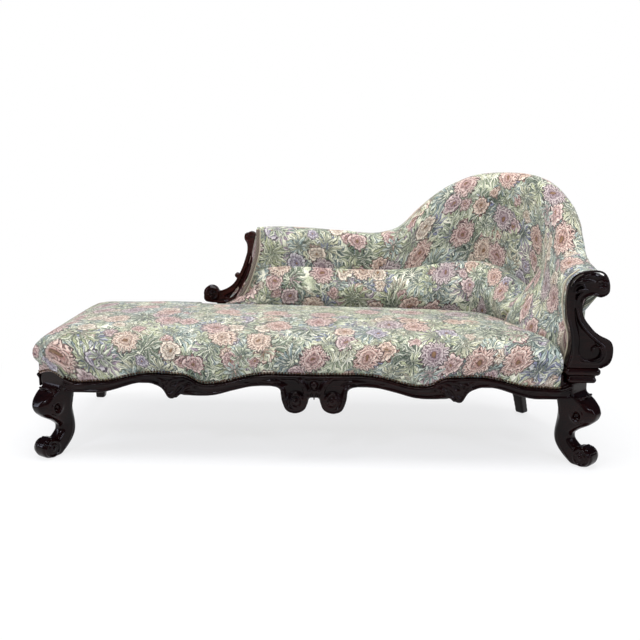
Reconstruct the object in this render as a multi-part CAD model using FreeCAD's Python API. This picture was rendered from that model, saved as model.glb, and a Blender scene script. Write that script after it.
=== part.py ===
import FreeCAD, Part
import math
import os

from FreeCAD import Vector

# A fainting couch (a serpentine-fronted chaise longue) in millimetres.
# While it is drawn, x runs along the couch from the foot end to the head end
# with its middle at 0, y runs from the face of the front rail towards the
# back, and z is the height over a level just above the soles. The last step
# centres the couch and sets it on the floor.

# Overall sizes
FRAME_LENGTH = 1786.0       # twice the head end's reach from the middle of the apron
FOOT_REACH = 30.0           # the foot end reaches this much further
FOOT_CANT = (94.0, 54.0)    # of the canted front corner at the foot end, along x and y
FRAME_DEPTH = 650.0         # from the front rail's face to the back rail's face
RAIL_TOP = 296.0            # height of the seat frame
SEAT_CROWN = 412.0          # highest point of the seat
BACK_HEIGHT = 697.0         # top of the low part of the back, at the scroll
HUMP_HEIGHT = 909.0         # top of the hump
ARM_HEIGHT = 618.0          # top of the arm at its front post
CORNER_RADIUS = 340.0       # outer face of the curved corner at the head end

HALF_LENGTH = FRAME_LENGTH / 2      # from the middle of the apron to the head rail's face
FOOT_FACE = -HALF_LENGTH - FOOT_REACH
CORNER_CENTRE_X = HALF_LENGTH - CORNER_RADIUS
CORNER_CENTRE_Y = FRAME_DEPTH - CORNER_RADIUS
ARC_LENGTH = CORNER_RADIUS * math.pi / 2

# Clearances
GAP = 0.3                   # soft pieces and fitted joints stand this far apart
LAYER_GAP = 0.5             # between a stretched sheet and what carries it

# Seat frame
RAIL_THICK = 24.0
RAIL_BOTTOM = 214.0
REAR_RAIL_BOTTOM = 218.0
WEB_RAIL_BOTTOM = 244.0     # the web rails lie above the apron's arches
WEB_RAIL_THICK = 25.0
BRACE_PLACES = (-290.0, 290.0)
BRACE_WIDTH = 32.0
BRACE_HEIGHT = 26.0

# Front rail: the serpentine lower edge and the line where the cover ends,
# both for the right half, as the corners of a polygon that arcs round off
APRON_INNER = [(118.0, 243.0), (215.0, 243.0), (330.0, 209.0), (425.0, 207.0), (448.0, 214.0)]
APRON_DROP = [(461.0, 195.0), (475.0, 195.0), (489.0, 224.0)]
APRON_OUTER = [(520.0, 248.0), (575.0, 250.0), (690.0, 213.0), (HALF_LENGTH - 71.0, 213.0)]
APRON_MIDDLE = [(0.0, 206.0), (88.0, 206.0)]
TRIM_LINE = [(0.0, 282.0), (190.0, 284.0), (305.0, 250.0), (375.0, 245.0), (412.0, 277.0),
             (560.0, 282.0), (670.0, 251.0), (HALF_LENGTH - 101.0, 247.0), (HALF_LENGTH - 71.0, 262.0)]
BAND_DEPTH = 9.0            # how far the moulded band stands out from the rail
BEAD_WIDTH = 12.0
BEAD_DEPTH = 5.0            # of the beads, from the band
BEAD_FROM_EDGE = 7.5
VOLUTE_PLACE = (59.0, 196.0)
VOLUTE_RADIUS = 28.0
VOLUTE_DEPTH = 19.0
VOLUTE_GROOVE = (14.0, 19.0, 4.0)   # inner radius, outer radius and depth
VOLUTE_EYE = (10.0, 5.0)    # radius and how far it stands out of the volute
SCROLL_LINE = [(104.0, 240.0), (92.0, 186.0), (60.0, 158.0), (27.0, 182.0), (22.0, 240.0), (52.0, 272.0)]
SCROLL_WIDTH = 15.0
SCROLL_DEPTH = 9.0
BOSS_RADIUS = 11.0
BOSS_HEIGHT = 253.0
LEAF_RADIUS = 9.0
LEAF_HEIGHT = 225.0
BOSS_DEPTH = 12.0

# Foot rail: the same two lines along y
FOOT_APRON = [(FOOT_CANT[1], 213.0), (190.0, 213.0), (262.0, 244.0), (FRAME_DEPTH - 260.0, 244.0),
              (FRAME_DEPTH - 188.0, 213.0), (FRAME_DEPTH - 20.0, 213.0)]
FOOT_TRIM = [(FOOT_CANT[1], 262.0), (190.0, 250.0), (262.0, 282.0), (FRAME_DEPTH - 260.0, 282.0),
             (FRAME_DEPTH - 188.0, 250.0), (FRAME_DEPTH - 20.0, 262.0)]

# Front legs: the sections of the cabriole from the sole up to the block, as
# height, inner face, outer face (both from the leg's axis), width and chamfer
LEG_INSET = 57.0            # of the leg's axis from both rail faces
BLOCK_WIDTH = 96.0
FOOT_BLOCK_WIDTH = 116.0
BLOCK_DEPTH = 72.0
BLOCK_BOTTOM = 222.0
LEG_SECTIONS = [
    (-14.0, 30.0, 72.0, 54.0, 8.0),
    (14.0, -8.0, 72.0, 54.0, 9.0),
    (42.0, -34.0, 50.0, 53.0, 12.0),
    (66.0, -42.0, 26.0, 52.0, 14.0),
    (92.0, -40.0, 28.0, 56.0, 15.0),
    (125.0, -34.0, 80.0, 68.0, 20.0),
    (160.0, -30.0, 110.0, 80.0, 23.0),
    (196.0, -30.0, 90.0, 88.0, 16.0),
    (226.0, -34.0, 36.0, 94.0, 5.0),
]
LEG_STEPS = 12
TOE_REACH = 72.0            # from the leg's axis to the middle of the toe's roll
TOE_RADIUS = 35.0
TOE_WIDTH = 58.0
SOLE = LEG_SECTIONS[0][0]   # level of the soles
TOE_SUNK = 2.0              # flat of the sole
TOE_CHAMFER = 7.0
TOE_BOSS_RADIUS = 13.0
TOE_BOSS_PROUD = 5.0
KNEE_PLACE = (50.0, 158.0)
KNEE_RADIUS = 21.0
KNEE_REACH = 44.0

# Back legs
BACK_BLOCK = 58.0
BACK_LEG_RAKE = 46.0        # of the foot, outwards
BACK_LEFT_RAKE = (-0.5, 0.8)
BACK_LEG_SECTIONS = [       # height, share of the rake and width
    (SOLE, 1.0, 36.0), (40.0, 0.62, 38.0), (90.0, 0.34, 42.0), (135.0, 0.15, 47.0),
    (180.0, 0.04, 53.0), (REAR_RAIL_BOTTOM, 0.0, BACK_BLOCK),
]

# Collar and front post of the arm; places along x are from the head rail's face
COLLAR_BOTTOM = 268.0
COLLAR_MIDDLE = 295.0
COLLAR_TOP = 319.0
COLLAR_LEFT = HALF_LENGTH - 93.0
COLLAR_RIGHT = HALF_LENGTH + 18.0
COLLAR_STEP = 9.0
COLLAR_NECK = 14.0
COLLAR_CHAMFER = 7.0
COLLAR_FRONT = -20.0
COLLAR_BACK = 64.0
POST_FRONT = -14.0
POST_THICK = 50.0
POST_OUTLINE = [
    (-90.0, COLLAR_TOP), (-77.0, 400.0), (-101.0, 495.0), (-96.0, 590.0), (-47.0, 632.0),
    (19.0, 614.0), (26.0, 560.0), (4.0, 549.0), (-27.0, 561.0), (-59.0, 548.0),
    (-52.0, 488.0), (-3.0, 430.0), (49.0, 398.0), (43.0, 334.0), (12.0, COLLAR_TOP),
]
POST_PANEL = [
    (-21.0, 338.0), (-55.0, 344.0), (-57.0, 400.0), (-80.0, 495.0), (-78.0, 575.0),
    (-61.0, 592.0), (-47.0, 578.0), (-72.0, 552.0), (-64.0, 480.0), (-21.0, 424.0),
    (24.0, 390.0), (21.0, 346.0),
]
PANEL_DEPTH = 5.0           # of the sunk panels of the post and the scroll
POST_EYE = (6.0, 574.0)
POST_EYE_RADIUS = 12.0
POST_EYE_PROUD = 6.0

# Scroll that ends the back at the foot side. Places along x are here, and in
# all that follows for the back, from where the corner's curve begins.
SCROLL_FROM_BACK = 48.0     # its front face, from the back rail's face
SCROLL_THICK = 30.0
SCROLL_INNER = [
    (-809.0, 676.0), (-811.0, 610.0), (-829.0, 540.0), (-859.0, 462.0), (-893.0, 412.0), (-938.0, 396.0),
]
SCROLL_OUTLINE = [
    (-835.0, 682.0), (-853.0, 662.0), (-846.0, 640.0), (-837.0, 636.0), (-845.0, 600.0),
    (-871.0, 520.0), (-903.0, 466.0), (-948.0, 444.0), (-978.0, 441.0), (-1001.0, 446.0),
    (-1021.0, 432.0), (-1019.0, 404.0), (-993.0, 398.0),
] + SCROLL_INNER[::-1]
SCROLL_PANEL = [
    (-829.0, 640.0), (-842.0, 570.0), (-870.0, 496.0), (-905.0, 444.0), (-945.0, 424.0),
    (-925.0, 412.0), (-891.0, 432.0), (-859.0, 486.0), (-833.0, 556.0),
]
SCROLL_VOLUTE = (-989.0, 437.0)
SCROLL_VOLUTE_RADIUS = 30.0
SCROLL_VOLUTE_PROUD = 6.0
SCROLL_EAR = (-887.0, 508.0)
SCROLL_EAR_RADIUS = 9.0
SCROLL_EAR_STEM = (22.0, 4.0, 24.0)
SCROLL_FOOT_WIDTH = 60.0
SCROLL_FOOT_RIGHT = -905.0
SCROLL_FOOT_OVERLAP = 14.0

POST_BACK = POST_FRONT + POST_THICK
ARM_END = ARC_LENGTH + CORNER_CENTRE_Y - POST_BACK - GAP
SCROLL_FRONT = FRAME_DEPTH - SCROLL_FROM_BACK

# Back and arm: stations along the outer line of the upholstered wall, which
# runs along the back, round the corner and forward along the arm. Each has
# the place on that line, the top, the roll's depth and overhang, and the
# padding's thickness high up, half way and at the seat.
BACK_STATIONS = [
    (-903.0, BACK_HEIGHT - 4.0, 34.0, 10.0, 58.0, 52.0, 50.0),
    (-768.0, BACK_HEIGHT, 34.0, 12.0, 60.0, 54.0, 52.0),
    (-623.0, BACK_HEIGHT - 5.0, 34.0, 14.0, 62.0, 56.0, 54.0),
    (-463.0, BACK_HEIGHT - 15.0, 34.0, 14.0, 62.0, 58.0, 56.0),
    (-323.0, BACK_HEIGHT - 20.0, 34.0, 14.0, 62.0, 60.0, 60.0),
    (-253.0, BACK_HEIGHT + 4.0, 34.0, 14.0, 62.0, 62.0, 64.0),
    (-183.0, HUMP_HEIGHT - 138.0, 34.0, 15.0, 62.0, 65.0, 68.0),
    (-103.0, HUMP_HEIGHT - 72.0, 34.0, 16.0, 62.0, 66.0, 70.0),
    (-3.0, HUMP_HEIGHT - 24.0, 34.0, 18.0, 62.0, 68.0, 72.0),
    (117.0, HUMP_HEIGHT - 1.0, 34.0, 20.0, 62.0, 70.0, 75.0),
    (237.0, HUMP_HEIGHT - 4.0, 34.0, 22.0, 62.0, 72.0, 78.0),
    (337.0, HUMP_HEIGHT - 33.0, 34.0, 22.0, 62.0, 74.0, 80.0),
    (432.0, HUMP_HEIGHT - 90.0, 34.0, 22.0, 66.0, 78.0, 82.0),
]
ARM_STATIONS = [
    (432.5, HUMP_HEIGHT - 90.0, 34.0, 22.0, 66.0, 96.0, 222.0),
    (487.0, HUMP_HEIGHT - 138.0, 36.0, 22.0, 70.0, 106.0, 220.0),
    (542.0, HUMP_HEIGHT - 200.0, 40.0, 22.0, 76.0, 114.0, 208.0),
    (ARM_END - 221.0, ARM_HEIGHT + 46.0, 46.0, 24.0, 80.0, 116.0, 194.0),
    (ARM_END - 171.0, ARM_HEIGHT + 25.0, 52.0, 30.0, 80.0, 110.0, 176.0),
    (ARM_END - 101.0, ARM_HEIGHT + 12.0, 56.0, 42.0, 72.0, 92.0, 140.0),
    (ARM_END, ARM_HEIGHT - 4.0, 58.0, 54.0, 56.0, 52.0, 78.0),
]
ARM_TAPER = 35.0            # the arm's outer line runs in by this much at the front
WALL_FRAME_OUT = 4.0        # the wall's wooden frame, from the outer line inwards
WALL_FRAME_IN = 30.0
WALL_WEB_THICK = 1.0
WALL_WEB_END = 8.0          # from the seat frame and from the roll
HESSIAN_THICK = 1.5
PAD_BACK = WALL_FRAME_IN + WALL_WEB_THICK + HESSIAN_THICK + 3 * GAP
COVER_THICK = 7.0           # a cover and the wadding under it
SKIN_GAP = 1.2              # between a cover's inside and the stuffing
ARC_CHORD = 0.55            # turn of one chord where a soft form's arc is faceted
ARC_POINTS = 3              # chords of each arc in the back's sections
ROLL_SHOULDER = 38.0        # from the top of the roll down to the flat of the back
ROLL_EDGE = 12.0            # how far the roll's inner edge is rounded off
ROLL_TUCK = 20.0            # the lower roll goes down behind the seat
WALL_SWELL = 3.0
FLATNESS = 1e-7             # four points this close to a plane make one flat face
STRAIGHT_STEP = 150.0       # largest distance between two sections
CURVED_STEP = 64.0          # the same, along the hump and round the corner
CURVED_FROM = -323.0
JOIN_STEP = 4.0             # stuffing stays this far from a cover's open end

TOP_RAIL_DEEP = 46.0
ROLL_CLEAR = 1.0            # under the roll's padding
LOW_RAIL_DEEP = 44.0
UPRIGHT_WIDTH = 44.0
UPRIGHT_SHORT = 2.0         # under the top rail
UPRIGHT_PLACES = (-785.0, -403.0, -33.0, 267.0, 505.0)
WALL_WEB_PLACES = (-713.0, -613.0, -513.0, -313.0, -213.0, -113.0, 67.0, 167.0, 367.0, 437.0, 577.0,
                   657.0, 737.0)

SEAT_SINK = 14.0            # the seat meets the back's roll this far below its crown
SEAT_LEVEL = SEAT_CROWN - SEAT_SINK

# Lower roll of the back: place on the same line, rise of the roll over the
# seat and reach of its foot from the outer line
LUMBAR = [(s, SEAT_LEVEL + rise, reach) for s, rise, reach in [
    (-903.0, 102.0, 78.0), (-815.0, 138.0, 84.0), (-733.0, 147.0, 88.0), (-603.0, 147.0, 92.0),
    (-453.0, 141.0, 97.0), (-253.0, 143.0, 120.0), (-153.0, 158.0, 138.0), (-53.0, 176.0, 160.0),
    (47.0, 180.0, 180.0), (157.0, 164.0, 198.0), (267.0, 130.0, 212.0), (357.0, 92.0, 220.0),
    (432.0, 64.0, 222.0),
]]
LUMBAR_CLEAR = 3.0          # behind the lower roll, for the swell of the back's padding
PAD_BULGE = 14.0

# Seat
SPRING_ROWS = (150.0, FRAME_DEPTH / 2 - 5.0, FRAME_DEPTH - 160.0)
SPRINGS_PER_BAY = 3
SPRING_FROM_HEAD = 114.0    # the bay at the curved corner ends this far from the rail
SPRING_RADIUS = 40.0
SPRING_WAIST = 24.0
SPRING_SIDES = 6
HESSIAN_HEIGHT = 342.0
HESSIAN_SLOPE = 60.0
SEAT_OVERHANG = 16.0
SEAT_STEP = -1029.0         # on the foot side of this place the seat reaches the back rail
SEAT_CORNER = 30.0          # chamfer of the frame's and the seat's back corner
SEAT_CORNER_SHARE = 1.3
SEAT_TO_POST = 11.0
SEAT_ARM_PLACE = 191.0      # from the arm's front end
SEAT_SLOPE = 0.06           # of the seat's back edge beside the scroll
SEAT_CLEAR = 3.0            # from the back's lower roll
FOOT_SWELL = 1.5            # the seat swells out more at the foot end
CANT_SHARE = 1.2            # the canted front corner is rounded off more than the sides
SEAT_BACK_PLACES = (432.0, 217.0, 37.0, -203.0, -811.0)
SKIRT_OUT = 3.5
SKIRT_INNER = 40.0          # the skirt ends where the seat meets the back
ARCH_TOP = 283.0            # the cover's arched edge over the front left block
ARCH_SIDE = 269.0
WEB_WIDTH = 50.0
WEB_THICK = 1.6
BATTEN_WIDTH = 22.0
BATTEN_HEIGHT = 26.0
CLOTH_THICK = 1.0

WALL = BACK_STATIONS + ARM_STATIONS
BACK_START = BACK_STATIONS[0][0]
BACK_END = BACK_STATIONS[-1][0]
ARM_START = ARM_STATIONS[0][0]
LEG_X = HALF_LENGTH - LEG_INSET
LEG_Y = LEG_INSET


# Lines, arcs and outlines

def unit(vector):
    return vector * (1.0 / vector.Length)


def rounded(corners, closed=True, share=0.48, sharp=()):
    """Straight runs joined by tangent arcs inside the corners of a polygon."""
    count = len(corners)
    edges = []
    ends = []
    for i, corner in enumerate(corners):
        inside = closed or 0 < i < count - 1
        if not inside or i in sharp:
            ends.append((corner, None, corner))
            continue
        before = corners[i - 1] - corner
        after = corners[(i + 1) % count] - corner
        cut = share * min(before.Length, after.Length)
        start = corner + unit(before) * cut
        end = corner + unit(after) * cut
        half_turn = (math.pi - before.getAngle(after)) / 2
        if half_turn < 0.01:
            ends.append((corner, None, corner))
            continue
        radius = cut / math.tan(half_turn)
        inward = unit(unit(before) + unit(after))
        middle = corner + inward * (radius / math.cos(half_turn) - radius)
        ends.append((start, middle, end))
    runs = count if closed else count - 1
    for i in range(count):
        start, middle, end = ends[i]
        if middle is not None:
            edges.append(Part.Arc(start, middle, end).toShape())
        if i < runs:
            following = ends[(i + 1) % count][0]
            if (following - end).Length > 1e-4:
                edges.append(Part.LineSegment(end, following).toShape())
    return Part.Wire(edges)


def in_xz(points, y):
    return [Vector(x, y, z) for x, z in points]


def in_yz(points, x):
    return [Vector(x, y, z) for y, z in points]


def from_corner(points):
    """Places given from the start of the corner's curve, as places along x."""
    return [(CORNER_CENTRE_X + x, z) for x, z in points]


def from_head(points):
    """Places given from the head rail's face, as places along x."""
    return [(HALF_LENGTH + x, z) for x, z in points]


def prism(wire, direction):
    return Part.Face(wire).extrude(direction)


def box(x0, x1, y0, y1, z0, z1):
    return Part.makeBox(x1 - x0, y1 - y0, z1 - z0, Vector(x0, y0, z0))


def flat_faces(corners):
    """One flat face through four points, or two where they don't lie in a plane."""
    a, b, c, d = corners
    normal = (b - a).cross(c - a)
    if abs(normal.dot(d - a)) < FLATNESS * normal.Length:
        return [Part.Face(Part.makePolygon([a, b, c, d, a]))]
    return [Part.Face(Part.makePolygon([a, b, c, a])), Part.Face(Part.makePolygon([a, c, d, a]))]


def lofted(sections):
    """A closed solid through sections with the same number of corners, in flat faces."""
    faces = [Part.Face(Part.makePolygon(ends + ends[:1])) for ends in (sections[0], sections[-1])]
    for low, high in zip(sections, sections[1:]):
        for i in range(len(low)):
            faces += flat_faces([low[i - 1], low[i], high[i], high[i - 1]])
    shell = Part.makeShell(faces)
    shell.sewShape()
    solid = Part.makeSolid(shell)
    if solid.Volume < 0:
        solid.reverse()
    return solid


def sampled(edges):
    """The corners of a line of runs and arcs, with each arc in short chords."""
    points = []
    for edge in edges:
        turn = edge.tangentAt(edge.FirstParameter).getAngle(edge.tangentAt(edge.LastParameter))
        chords = max(1, round(turn / ARC_CHORD))
        ends = edge.discretize(chords + 1)
        points += ends[:-1]
    return points


def arc(start, middle, end):
    return Part.Arc(start, middle, end).toShape()


def line(start, end):
    return Part.LineSegment(start, end).toShape()


def fused(shapes):
    first = shapes[0].multiFuse(shapes[1:]) if len(shapes) > 1 else shapes[0]
    return first.removeSplitter()


def bead(path, width, direction):
    """A raised strip of even width that follows a path of lines and arcs."""
    around = path.makeOffset2D(width / 2, 0, False, False, True)
    return prism(around, direction)


def roundel(place, radius, direction):
    return Part.makeCylinder(radius, direction.Length, place, direction)


# The outer line of the back and arm

def wall_point(s, inward):
    """Point at place s, a distance inwards from the outer line."""
    if s <= 0:
        return Vector(CORNER_CENTRE_X + s, FRAME_DEPTH - inward, 0)
    if s <= ARC_LENGTH:
        turn = s / CORNER_RADIUS
        out = Vector(math.sin(turn), math.cos(turn), 0)
        return Vector(CORNER_CENTRE_X, CORNER_CENTRE_Y, 0) + out * (CORNER_RADIUS - inward)
    forward = s - ARC_LENGTH
    taper = ARM_TAPER * (forward / CORNER_CENTRE_Y) ** 2
    return Vector(HALF_LENGTH - taper - inward, CORNER_CENTRE_Y - forward, 0)


def span(s):
    """The two shared stations on both sides of place s, and the share between."""
    i = max(k for k, place in enumerate(WALL_PLACES[:-1]) if place <= max(s, WALL_PLACES[0]))
    low = WALL_PLACES[i]
    high = WALL_PLACES[i + 1]
    return low, high, (s - low) / (high - low)


def wall_place(s, inward, z):
    """A point of the wall: straight between the shared stations, so layers agree."""
    low, high, share = span(s)
    start = wall_point(low, inward)
    place = start + (wall_point(high, inward) - start) * share
    return Vector(place.x, place.y, z)


def values(rows, s):
    """The values of a list of stations at place s, straight between shared stations."""
    low, high, share = span(s)
    start = between(rows, low)
    end = between(rows, high)
    return [a + (b - a) * share for a, b in zip(start, end)]


def between(rows, s):
    """The values of a list of stations at place s, on smooth curves."""
    if s <= rows[0][0]:
        return rows[0][1:]
    if s >= rows[-1][0]:
        return rows[-1][1:]
    i = max(k for k, row in enumerate(rows) if row[0] <= s)
    low = rows[i]
    high = rows[i + 1]
    before = rows[max(i - 1, 0)]
    after = rows[min(i + 2, len(rows) - 1)]
    width = high[0] - low[0]
    part = (s - low[0]) / width
    values = []
    for k in range(1, len(low)):
        slope_low = (high[k] - before[k]) / (high[0] - before[0]) * width
        slope_high = (after[k] - low[k]) / (after[0] - low[0]) * width
        if i == 0:
            slope_low = high[k] - low[k]
        values.append(low[k] * (2 * part ** 3 - 3 * part ** 2 + 1)
                      + slope_low * (part ** 3 - 2 * part ** 2 + part)
                      + high[k] * (3 * part ** 2 - 2 * part ** 3)
                      + slope_high * (part ** 3 - part ** 2))
    return tuple(values)


def shared_places():
    """The stations that every layer of the back and arm is built on."""
    marks = sorted({row[0] for row in WALL} | {0.0, ARC_LENGTH})
    places = [marks[0]]
    for low, high in zip(marks, marks[1:]):
        count = math.ceil((high - low) / (CURVED_STEP if high > CURVED_FROM else STRAIGHT_STEP))
        places += [low + (high - low) * i / count for i in range(1, count + 1)]
    return places


def stations_between(start, end):
    return [start] + [s for s in WALL_PLACES if start + GAP < s < end - GAP] + [end]


def wall_panel(start, end, near, far, low, high):
    """A board or sheet that stands on the outer line, between two depths."""
    sections = []
    for s in stations_between(start, end):
        bottom = low(s)
        top = high(s)
        sections.append([wall_place(s, near, bottom), wall_place(s, far, bottom),
                         wall_place(s, far, top), wall_place(s, near, top)])
    return lofted(sections)


def roll_underside(s):
    top, drop = values(WALL, s)[:2]
    return top - drop


# Padded sections

def inset_outline(outline, inset):
    """A section's free sides moved inwards; its back and its bottom stay."""
    sides = ["fixed"] + ["free"] * (len(outline) - 2) + ["fixed"]
    return inset_corners(list(zip(outline, sides)), {"fixed": 0.0, "free": -inset})


def wall_section(s, row, inset, back):
    """Section of the padding over the wall's frame, from the seat frame up."""
    top, drop, overhang, high, middle, low = row
    bottom = RAIL_TOP + GAP
    under = top - drop
    shoulder = top - ROLL_SHOULDER
    waist = 0.5 * (shoulder + SEAT_LEVEL)
    points = [
        (back, bottom), (back, under), (-overhang * 0.55, under), (-overhang, top - drop * 0.55),
        ((high - overhang) / 2, top), (high - ROLL_EDGE, top - ROLL_EDGE), (high, shoulder),
        (0.5 * (high + middle) + WALL_SWELL, 0.5 * (shoulder + waist)), (middle, waist),
        (low, SEAT_LEVEL), (low, bottom),
    ]
    p = [Vector(n, z, 0) for n, z in points]
    outline = p[:2] + sampled_evenly([arc(*p[2:5]), arc(*p[4:7]), arc(*p[6:9])]) + p[8:]
    return [wall_place(s, corner.x, corner.y) for corner in inset_outline(outline, inset)]


def sampled_evenly(arcs):
    """Arcs in a fixed number of chords, so that all sections have as many corners."""
    points = []
    for edge in arcs:
        points += edge.discretize(ARC_POINTS + 1)[:-1]
    return points


def wall_padding(rows, start, end, inset, back=PAD_BACK):
    return lofted([wall_section(s, values(rows, s), inset, back) for s in stations_between(start, end)])


def roll_section(s, row, inset):
    """Section of the lower roll in front of the wall's padding."""
    top, reach = row
    middle, low = values(BACK_STATIONS, s)[4:6]
    back = max(low, middle + LUMBAR_CLEAR) + GAP
    bottom = RAIL_TOP + GAP
    height = top - SEAT_LEVEL
    points = [
        (back, bottom), (back, top), (back + 0.62 * (reach + PAD_BULGE - back), top - 0.2 * height),
        (reach + PAD_BULGE, SEAT_LEVEL + 0.45 * height), (reach + 0.7 * PAD_BULGE, SEAT_LEVEL + 0.12 * height),
        (reach, SEAT_LEVEL - ROLL_TUCK), (reach, bottom),
    ]
    p = [Vector(n, z, 0) for n, z in points]
    outline = p[:1] + sampled_evenly([arc(*p[1:4]), arc(*p[3:6])]) + p[5:]
    return [wall_place(s, corner.x, corner.y) for corner in inset_outline(outline, inset)]


def roll_padding(start, end, inset):
    return lofted([roll_section(s, values(LUMBAR, s), inset) for s in stations_between(start, end)])


# Seat outlines

def seat_corners():
    """Corners of the seat in plan, and which side of it each run belongs to."""
    left = FOOT_FACE
    arm = ARM_END - SEAT_ARM_PLACE
    hidden = [wall_place(arm, values(ARM_STATIONS, arm)[5] + SEAT_CLEAR, 0)]
    for s in SEAT_BACK_PLACES:
        hidden.append(wall_place(s, values(LUMBAR, s)[1] + SEAT_CLEAR, 0))
    corners = [
        (Vector(left + FOOT_CANT[0], 0, 0), "front"),
        (Vector(COLLAR_LEFT - SEAT_TO_POST, 0, 0), "hidden"),
    ]
    corners += [(point, "hidden") for point in hidden]
    step = CORNER_CENTRE_X + SEAT_STEP
    corners += [
        (Vector(step, hidden[-1].y + SEAT_SLOPE * (hidden[-1].x - step), 0), "step"),
        (Vector(step, FRAME_DEPTH, 0), "back"),
        (Vector(left + SEAT_CORNER, FRAME_DEPTH, 0), "corner"),
        (Vector(left, FRAME_DEPTH - SEAT_CORNER, 0), "left"),
        (Vector(left, FOOT_CANT[1], 0), "cant"),
    ]
    return corners


def inset_corners(corners, depths):
    """Each run of the outline moved inwards by its own depth."""
    lines = []
    count = len(corners)
    for i in range(count):
        start = corners[i][0]
        along = unit(corners[(i + 1) % count][0] - start)
        inward = Vector(-along.y, along.x, 0)
        lines.append((start + inward * depths[corners[i][1]], along))
    result = []
    for i in range(count):
        start, along = lines[i - 1]
        other, across = lines[i]
        cross = along.x * across.y - along.y * across.x
        step = other - start
        if abs(cross) < 0.02:
            result.append(other)
            continue
        distance = (step.x * across.y - step.y * across.x) / cross
        result.append(start + along * distance)
    return result


def seat_wire(level, free, hidden, back, smooth=True):
    cant = max(min(free, free * FOOT_SWELL), free * CANT_SHARE)
    corner = max(free, free * SEAT_CORNER_SHARE)
    left = min(free, free * FOOT_SWELL)
    depths = {"front": free, "cant": cant, "left": left, "corner": corner, "back": back,
              "step": 0.0, "hidden": hidden}
    corners = [Vector(p.x, p.y, level) for p in inset_corners(seat_corners(), depths)]
    if smooth:
        return rounded(corners, share=0.3)
    return Part.makePolygon(corners + corners[:1])


def seat_outline(*row, smooth):
    wire = seat_wire(*row, smooth)
    return sampled(wire.OrderedEdges)


# Seat frame

def joint_space(margin):
    """Room taken by the leg blocks and the collar, for cutting what meets them."""
    shapes = []
    for side in (-1, 1):
        shapes.append(placed_leg(block_solid(side, margin, 0.0), side))
        shapes.append(placed_leg(cabriole(), side))
    shapes.append(collar_envelope(margin))
    return shapes


def block_solid(side, margin, lowest):
    half_depth = BLOCK_DEPTH / 2 + margin
    half_width = (FOOT_BLOCK_WIDTH if side < 0 else BLOCK_WIDTH) / 2 + margin
    return box(-half_depth, half_depth, -half_width, half_width, lowest, RAIL_TOP)


def placed_leg(shape, side):
    """Turn a leg drawn along +x to its corner; side is -1 at the foot end."""
    place = Vector(LEG_X, LEG_Y, 0)
    angle = 315.0
    if side < 0:
        along, across = FOOT_CANT
        out = unit(Vector(-across, -along, 0))
        place = Vector(FOOT_FACE + along / 2, across / 2, 0) - out * (BLOCK_DEPTH / 2)
        angle = 180.0 + math.degrees(math.atan2(along, across))
    shape.rotate(Vector(0, 0, 0), Vector(0, 0, 1), angle)
    shape.translate(place)
    return shape


def collar_envelope(margin):
    return box(COLLAR_LEFT - margin, COLLAR_RIGHT + margin, COLLAR_FRONT - margin,
               COLLAR_BACK + margin, COLLAR_BOTTOM - margin, COLLAR_TOP)


def band_between(lower, upper, direction):
    """A board between a lower and an upper line."""
    edges = lower.Edges + upper.Edges
    for i in (0, -1):
        ends = [lower.OrderedVertexes[i].Point, upper.OrderedVertexes[i].Point]
        edges.append(Part.LineSegment(*ends).toShape())
    return prism(Part.Wire(Part.__sortEdges__(edges)), direction)


def grooved_roundel(place, radius, groove, direction):
    """A disc with a sunk ring in its front; its axis runs along the direction."""
    inner, outer, depth = groove
    disc = roundel(place, radius, direction)
    sink = unit(direction) * depth
    front = place + direction - sink
    ring = roundel(front, outer, sink).cut(roundel(front, inner, sink))
    return disc.cut(ring)


def half_volute():
    """The scroll beside the middle of the front rail."""
    x, z = VOLUTE_PLACE
    radius, proud = VOLUTE_EYE
    out = Vector(0, -1, 0)
    disc = grooved_roundel(Vector(x, 0, z), VOLUTE_RADIUS, VOLUTE_GROOVE, out * VOLUTE_DEPTH)
    eye = roundel(Vector(x, 0, z), radius, out * (VOLUTE_DEPTH + proud))
    line = rounded(in_xz(SCROLL_LINE, 0.0), closed=False)
    return [disc, eye, bead(line, SCROLL_WIDTH, out * (BAND_DEPTH + SCROLL_DEPTH))]


def front_rail():
    lower_points = APRON_MIDDLE + APRON_INNER + APRON_DROP + APRON_OUTER
    out = Vector(0, -1, 0)
    lower = rounded(in_xz(lower_points, 0.0), closed=False)
    trim = rounded(in_xz(TRIM_LINE, 0.0), closed=False)
    end = TRIM_LINE[-1][0]
    top = Part.makePolygon(in_xz([(0.0, RAIL_TOP), (end, RAIL_TOP)], 0.0))
    half = [band_between(lower, top, out * -RAIL_THICK), band_between(lower, trim, out * BAND_DEPTH)]
    raised = out * (BAND_DEPTH + BEAD_DEPTH)
    line = [(x, z - BEAD_FROM_EDGE) for x, z in TRIM_LINE]
    half.append(bead(rounded(in_xz(line, 0.0), closed=False), BEAD_WIDTH, raised))
    half += half_volute()
    right = fused(half)
    left = right.mirror(Vector(0, 0, 0), Vector(1, 0, 0))
    boss = roundel(Vector(0, 0, BOSS_HEIGHT), BOSS_RADIUS, out * (BAND_DEPTH + BOSS_DEPTH))
    leaf = roundel(Vector(0, 0, LEAF_HEIGHT), LEAF_RADIUS, raised)
    rail = right.multiFuse([left, boss, leaf])
    for space in joint_space(GAP):
        rail = rail.cut(space)
    return biggest(rail)


def biggest(shape):
    return max(shape.Solids, key=lambda solid: solid.Volume).removeSplitter()


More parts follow.
